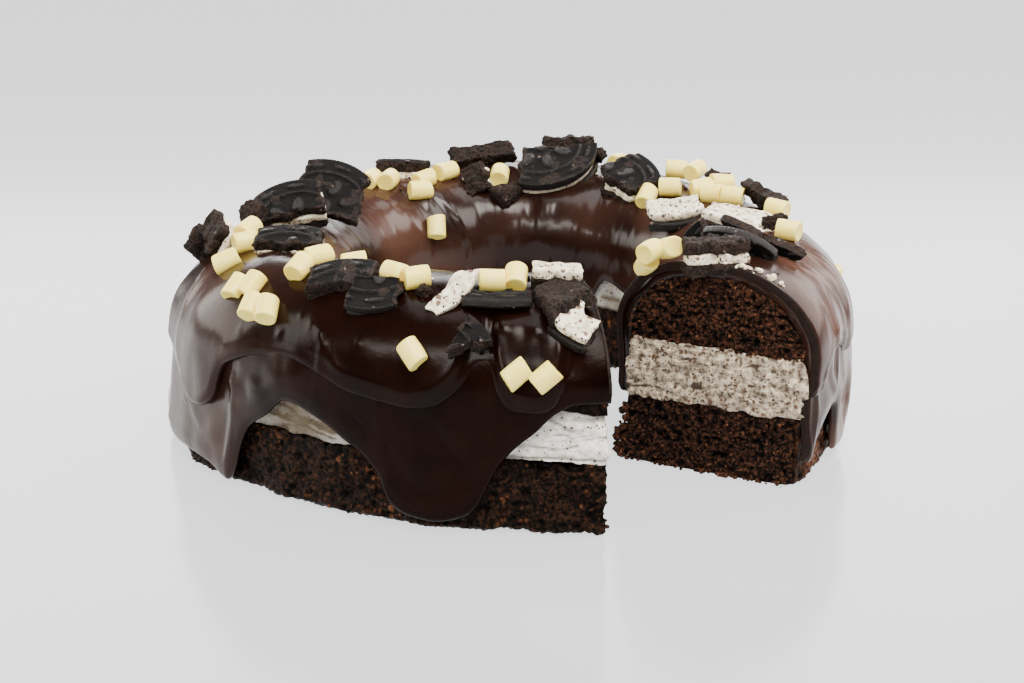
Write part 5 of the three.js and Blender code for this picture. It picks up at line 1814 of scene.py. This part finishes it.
# %% [markdown]
# ## Loose crumbs
#
# Broken cookies leave crumbs. Each is a shard of two dozen faces, and one mesh holds all the dark ones and
# another the pale ones. They lie round the pieces on the chocolate, where the knife dragged cream over the
# edge of the cut, and on the ragged foot of the sponge.

# %% Crumbs
CRUMB_SEED = 4001
CRUMBS_A_PIECE = 12
CRUMBS_ON_EDGE = 22
CRUMBS_ON_TABLE = 46
CRUMBS_IN_HOLE = 40
CRUMBS_AT_LEFT = 16


def crumb_at(place, size, seed):
    """One crumb's loops: a shard's corners, stretched and turned by its own seed."""
    ball = ball_directions(5, 6)
    loops = ball * shard_reach(ball, seed, 7)[..., None] * (size / 2) * np.array([1.0, 0.75, 0.6])
    turn = turned("Z", seed * 47.0) @ turned("X", seed * 31.0)
    return loops @ turn.T + place


def add_crumbs(name, places, material):
    """All crumbs of one kind as one mesh."""
    parts = []
    for number, (place, size) in enumerate(places):
        loops = crumb_at(np.asarray(place, dtype=float), size, CRUMB_SEED + number)
        parts.append((loops, *loft_faces(*loops.shape[:2])))
    points, faces, caps = join_parts(parts)
    points[:, 2] = np.maximum(points[:, 2], 0)
    add_mesh(name, points, faces, caps, [material], marks={"broken": np.ones(len(points))})
    print(f"{name}: {len(places)} crumbs")


def on_dome(angle, distance, size):
    """A place for a crumb a little sunk in the chocolate: the poured surface at that distance out."""
    along = np.linspace(ARCH_FOOT + 4, HOLE_FOOT_ALONG - 4, 160)
    radius, height = path_point(along, GAP + full_thickness(angle, along) + drape(angle, along))
    k = np.argmin(np.abs(radius - distance))
    return ring_point(angle, radius[k], height[k]) + np.array([0, 0, 0.22 * size])


def in_the_gap(angle, distance):
    """Whether a place is in the cut-out slice, where nothing can lie."""
    right = float(right_cut_angle(np.array(distance), np.array(60.0)))
    return LEFT_CUT_ANGLE - 1 < angle < right + 1.5


def topping_crumbs():
    """Dark and pale crumbs round every piece of cookie."""
    random = repeatable(CRUMB_SEED)
    dark, pale = [], []
    for piece in COOKIES:
        for _ in range(CRUMBS_A_PIECE):
            angle = piece["at"][0] + 9.5 * next(random)
            distance = piece["at"][1] + 15 * next(random)
            size = 1.5 + 0.9 * next(random)
            is_pale = next(random) > 0.7
            if distance > 110 or distance < 68 or in_the_gap(angle, distance):
                continue
            (pale if is_pale else dark).append((on_dome(angle, distance, size), size))
    return dark, pale


def edge_crumbs():
    """Cream crumbs that the knife dragged over the chocolate's edge at the right cut."""
    random = repeatable(CRUMB_SEED + 1)
    places = []
    for _ in range(CRUMBS_ON_EDGE):
        distance = 101 + 11 * next(random)
        angle = float(right_cut_angle(np.array(distance), np.array(62.0))) + 1.0 + 0.9 * next(random)
        size = 2.0 + 1.5 * next(random)
        places.append((on_dome(angle, distance, size), size))
    return places


def foot_crumbs():
    """Sponge crumbs on the table at the cuts, and clinging to the sponge's ragged edge in the hole."""
    random = repeatable(CRUMB_SEED + 2)
    places = []
    for _ in range(CRUMBS_ON_TABLE):
        distance = 88 + 27 * next(random)
        angle = float(right_cut_angle(np.array(distance), np.array(0.0)))
        size = 1.8 + 1.2 * next(random)
        spot = ring_point(angle, distance, 0.3 * size) + RIGHT_FACE_NORMAL * (0.6 + 0.8 * next(random))
        places.append((spot, size))
    for _ in range(CRUMBS_IN_HOLE):
        height = 11 + 10.5 * next(random)
        distance = 61.6 + 1.2 * next(random) - 2.2 * bell(height - 6, 6)
        angle = float(right_cut_angle(np.array(distance), np.array(height)))
        size = 3.0 + 1.6 * next(random)
        spot = ring_point(angle, distance, height) - RIGHT_FACE_NORMAL * (1.2 + 0.8 * next(random))
        places.append((spot, size))
    for _ in range(CRUMBS_AT_LEFT):
        distance = 90 + 27 * next(random)
        size = 1.6 + 0.9 * next(random)
        spot = ring_point(LEFT_CUT_ANGLE + 0.6 + 0.4 * next(random), distance, 0.3 * size)
        places.append((spot, size))
    return places


dark_crumbs, pale_crumbs = topping_crumbs()
add_crumbs("dark_crumbs", dark_crumbs, wafer_material)
add_crumbs("pale_crumbs", pale_crumbs + edge_crumbs(), cookie_cream_material)
add_crumbs("sponge_crumbs", foot_crumbs(), upper_crumb)

# %% [markdown]
# ## Table, light and camera
#
# The photograph has a pale table and daylight from big windows: one behind, which the crest and the right
# side mirror, and one at the left. Large area lights do the same. The camera stands as the ring's own circles
# in the photograph say: 0.73 m in front, 0.26 m up, looking 17.6 degrees down through a 72.7 mm lens.

# %% Table
TABLE_HALF = 4.0


def make_table_material():
    """Pale and nearly even, with a little light of its own, since the photo's table is lit all round."""
    material, tree, shader = new_material("pale table", 0.16, 0.2)
    tree.links.new(mottled(tree, (96, 97, 98), (101, 102, 103), 300, 1.0), shader.inputs["Base Color"])
    shader.inputs["Emission Color"].default_value = (0.97, 0.98, 1.0, 1)
    shader.inputs["Emission Strength"].default_value = 1.34
    return material


table_mesh = bpy.data.meshes.new("table")
table_corners = [(x * TABLE_HALF, y * TABLE_HALF, 0) for x, y in ((-1, -1), (1, -1), (1, 1), (-1, 1))]
table_mesh.from_pydata(table_corners, [], [(0, 1, 2, 3)])
table_mesh.materials.append(make_table_material())
table = bpy.data.objects.new("table", table_mesh)
bpy.context.scene.collection.objects.link(table)


# %% Lights
AIM_HEIGHT = 0.04


def add_softbox(name, place, size, watts, colour=(1, 1, 1)):
    """A rectangular area light that looks at the cake's middle."""
    light = bpy.data.lights.new(name, "AREA")
    light.shape = "RECTANGLE"
    light.size, light.size_y = size
    light.energy = watts
    light.color = colour
    lamp = bpy.data.objects.new(name, light)
    position = Matrix.Translation(place)
    direction = -position.translation
    direction.z += AIM_HEIGHT
    turn = direction.to_track_quat("-Z", "Y").to_matrix().to_4x4()
    lamp.matrix_world = position @ turn
    bpy.context.scene.collection.objects.link(lamp)


add_softbox("window behind", (-0.1, 1.7, 0.7), (1.6, 0.7), 24, (1.0, 0.97, 0.98))
add_softbox("window right", (1.1, 0.85, 0.7), (1.3, 1.2), 21, (1.0, 0.89, 0.85))
add_softbox("window high right", (0.9, -0.2, 0.92), (0.75, 0.75), 22, (1.0, 0.95, 0.91))
add_softbox("strip in front", (-0.5, -0.95, 0.62), (1.1, 0.1), 10, (1.0, 0.96, 0.91))
add_softbox("window left", (-1.5, 0.5, 0.55), (1.8, 0.85), 34, (1.0, 0.96, 0.9))
add_softbox("lamp over the camera", (0.15, -0.75, 1.3), (0.6, 0.6), 32, (1.0, 0.96, 0.91))
add_softbox("ceiling", (0.0, 0.2, 1.4), (1.0, 1.0), 17)
world = bpy.data.worlds.new("room")
world.use_nodes = True
world.node_tree.nodes["Background"].inputs["Color"].default_value = (0.95, 0.97, 1.0, 1)
world.node_tree.nodes["Background"].inputs["Strength"].default_value = 0.12
bpy.context.scene.world = world
print("lights:", len(bpy.data.lights))

# %% Camera
CAMERA_PLACE = np.array([-0.7, -729.7, 259.2])
CAMERA_DOWN = 17.6
LENS = 72.7
SENSOR_WIDTH = 36
camera_data = bpy.data.cameras.new("camera")
camera_data.lens = LENS
camera_data.sensor_width = SENSOR_WIDTH
camera = bpy.data.objects.new("camera", camera_data)
camera.location = (CAMERA_PLACE + RING_CENTRE) * MM
camera.rotation_euler = (math.radians(90 - CAMERA_DOWN), 0, 0)
bpy.context.scene.collection.objects.link(camera)
bpy.context.scene.camera = camera
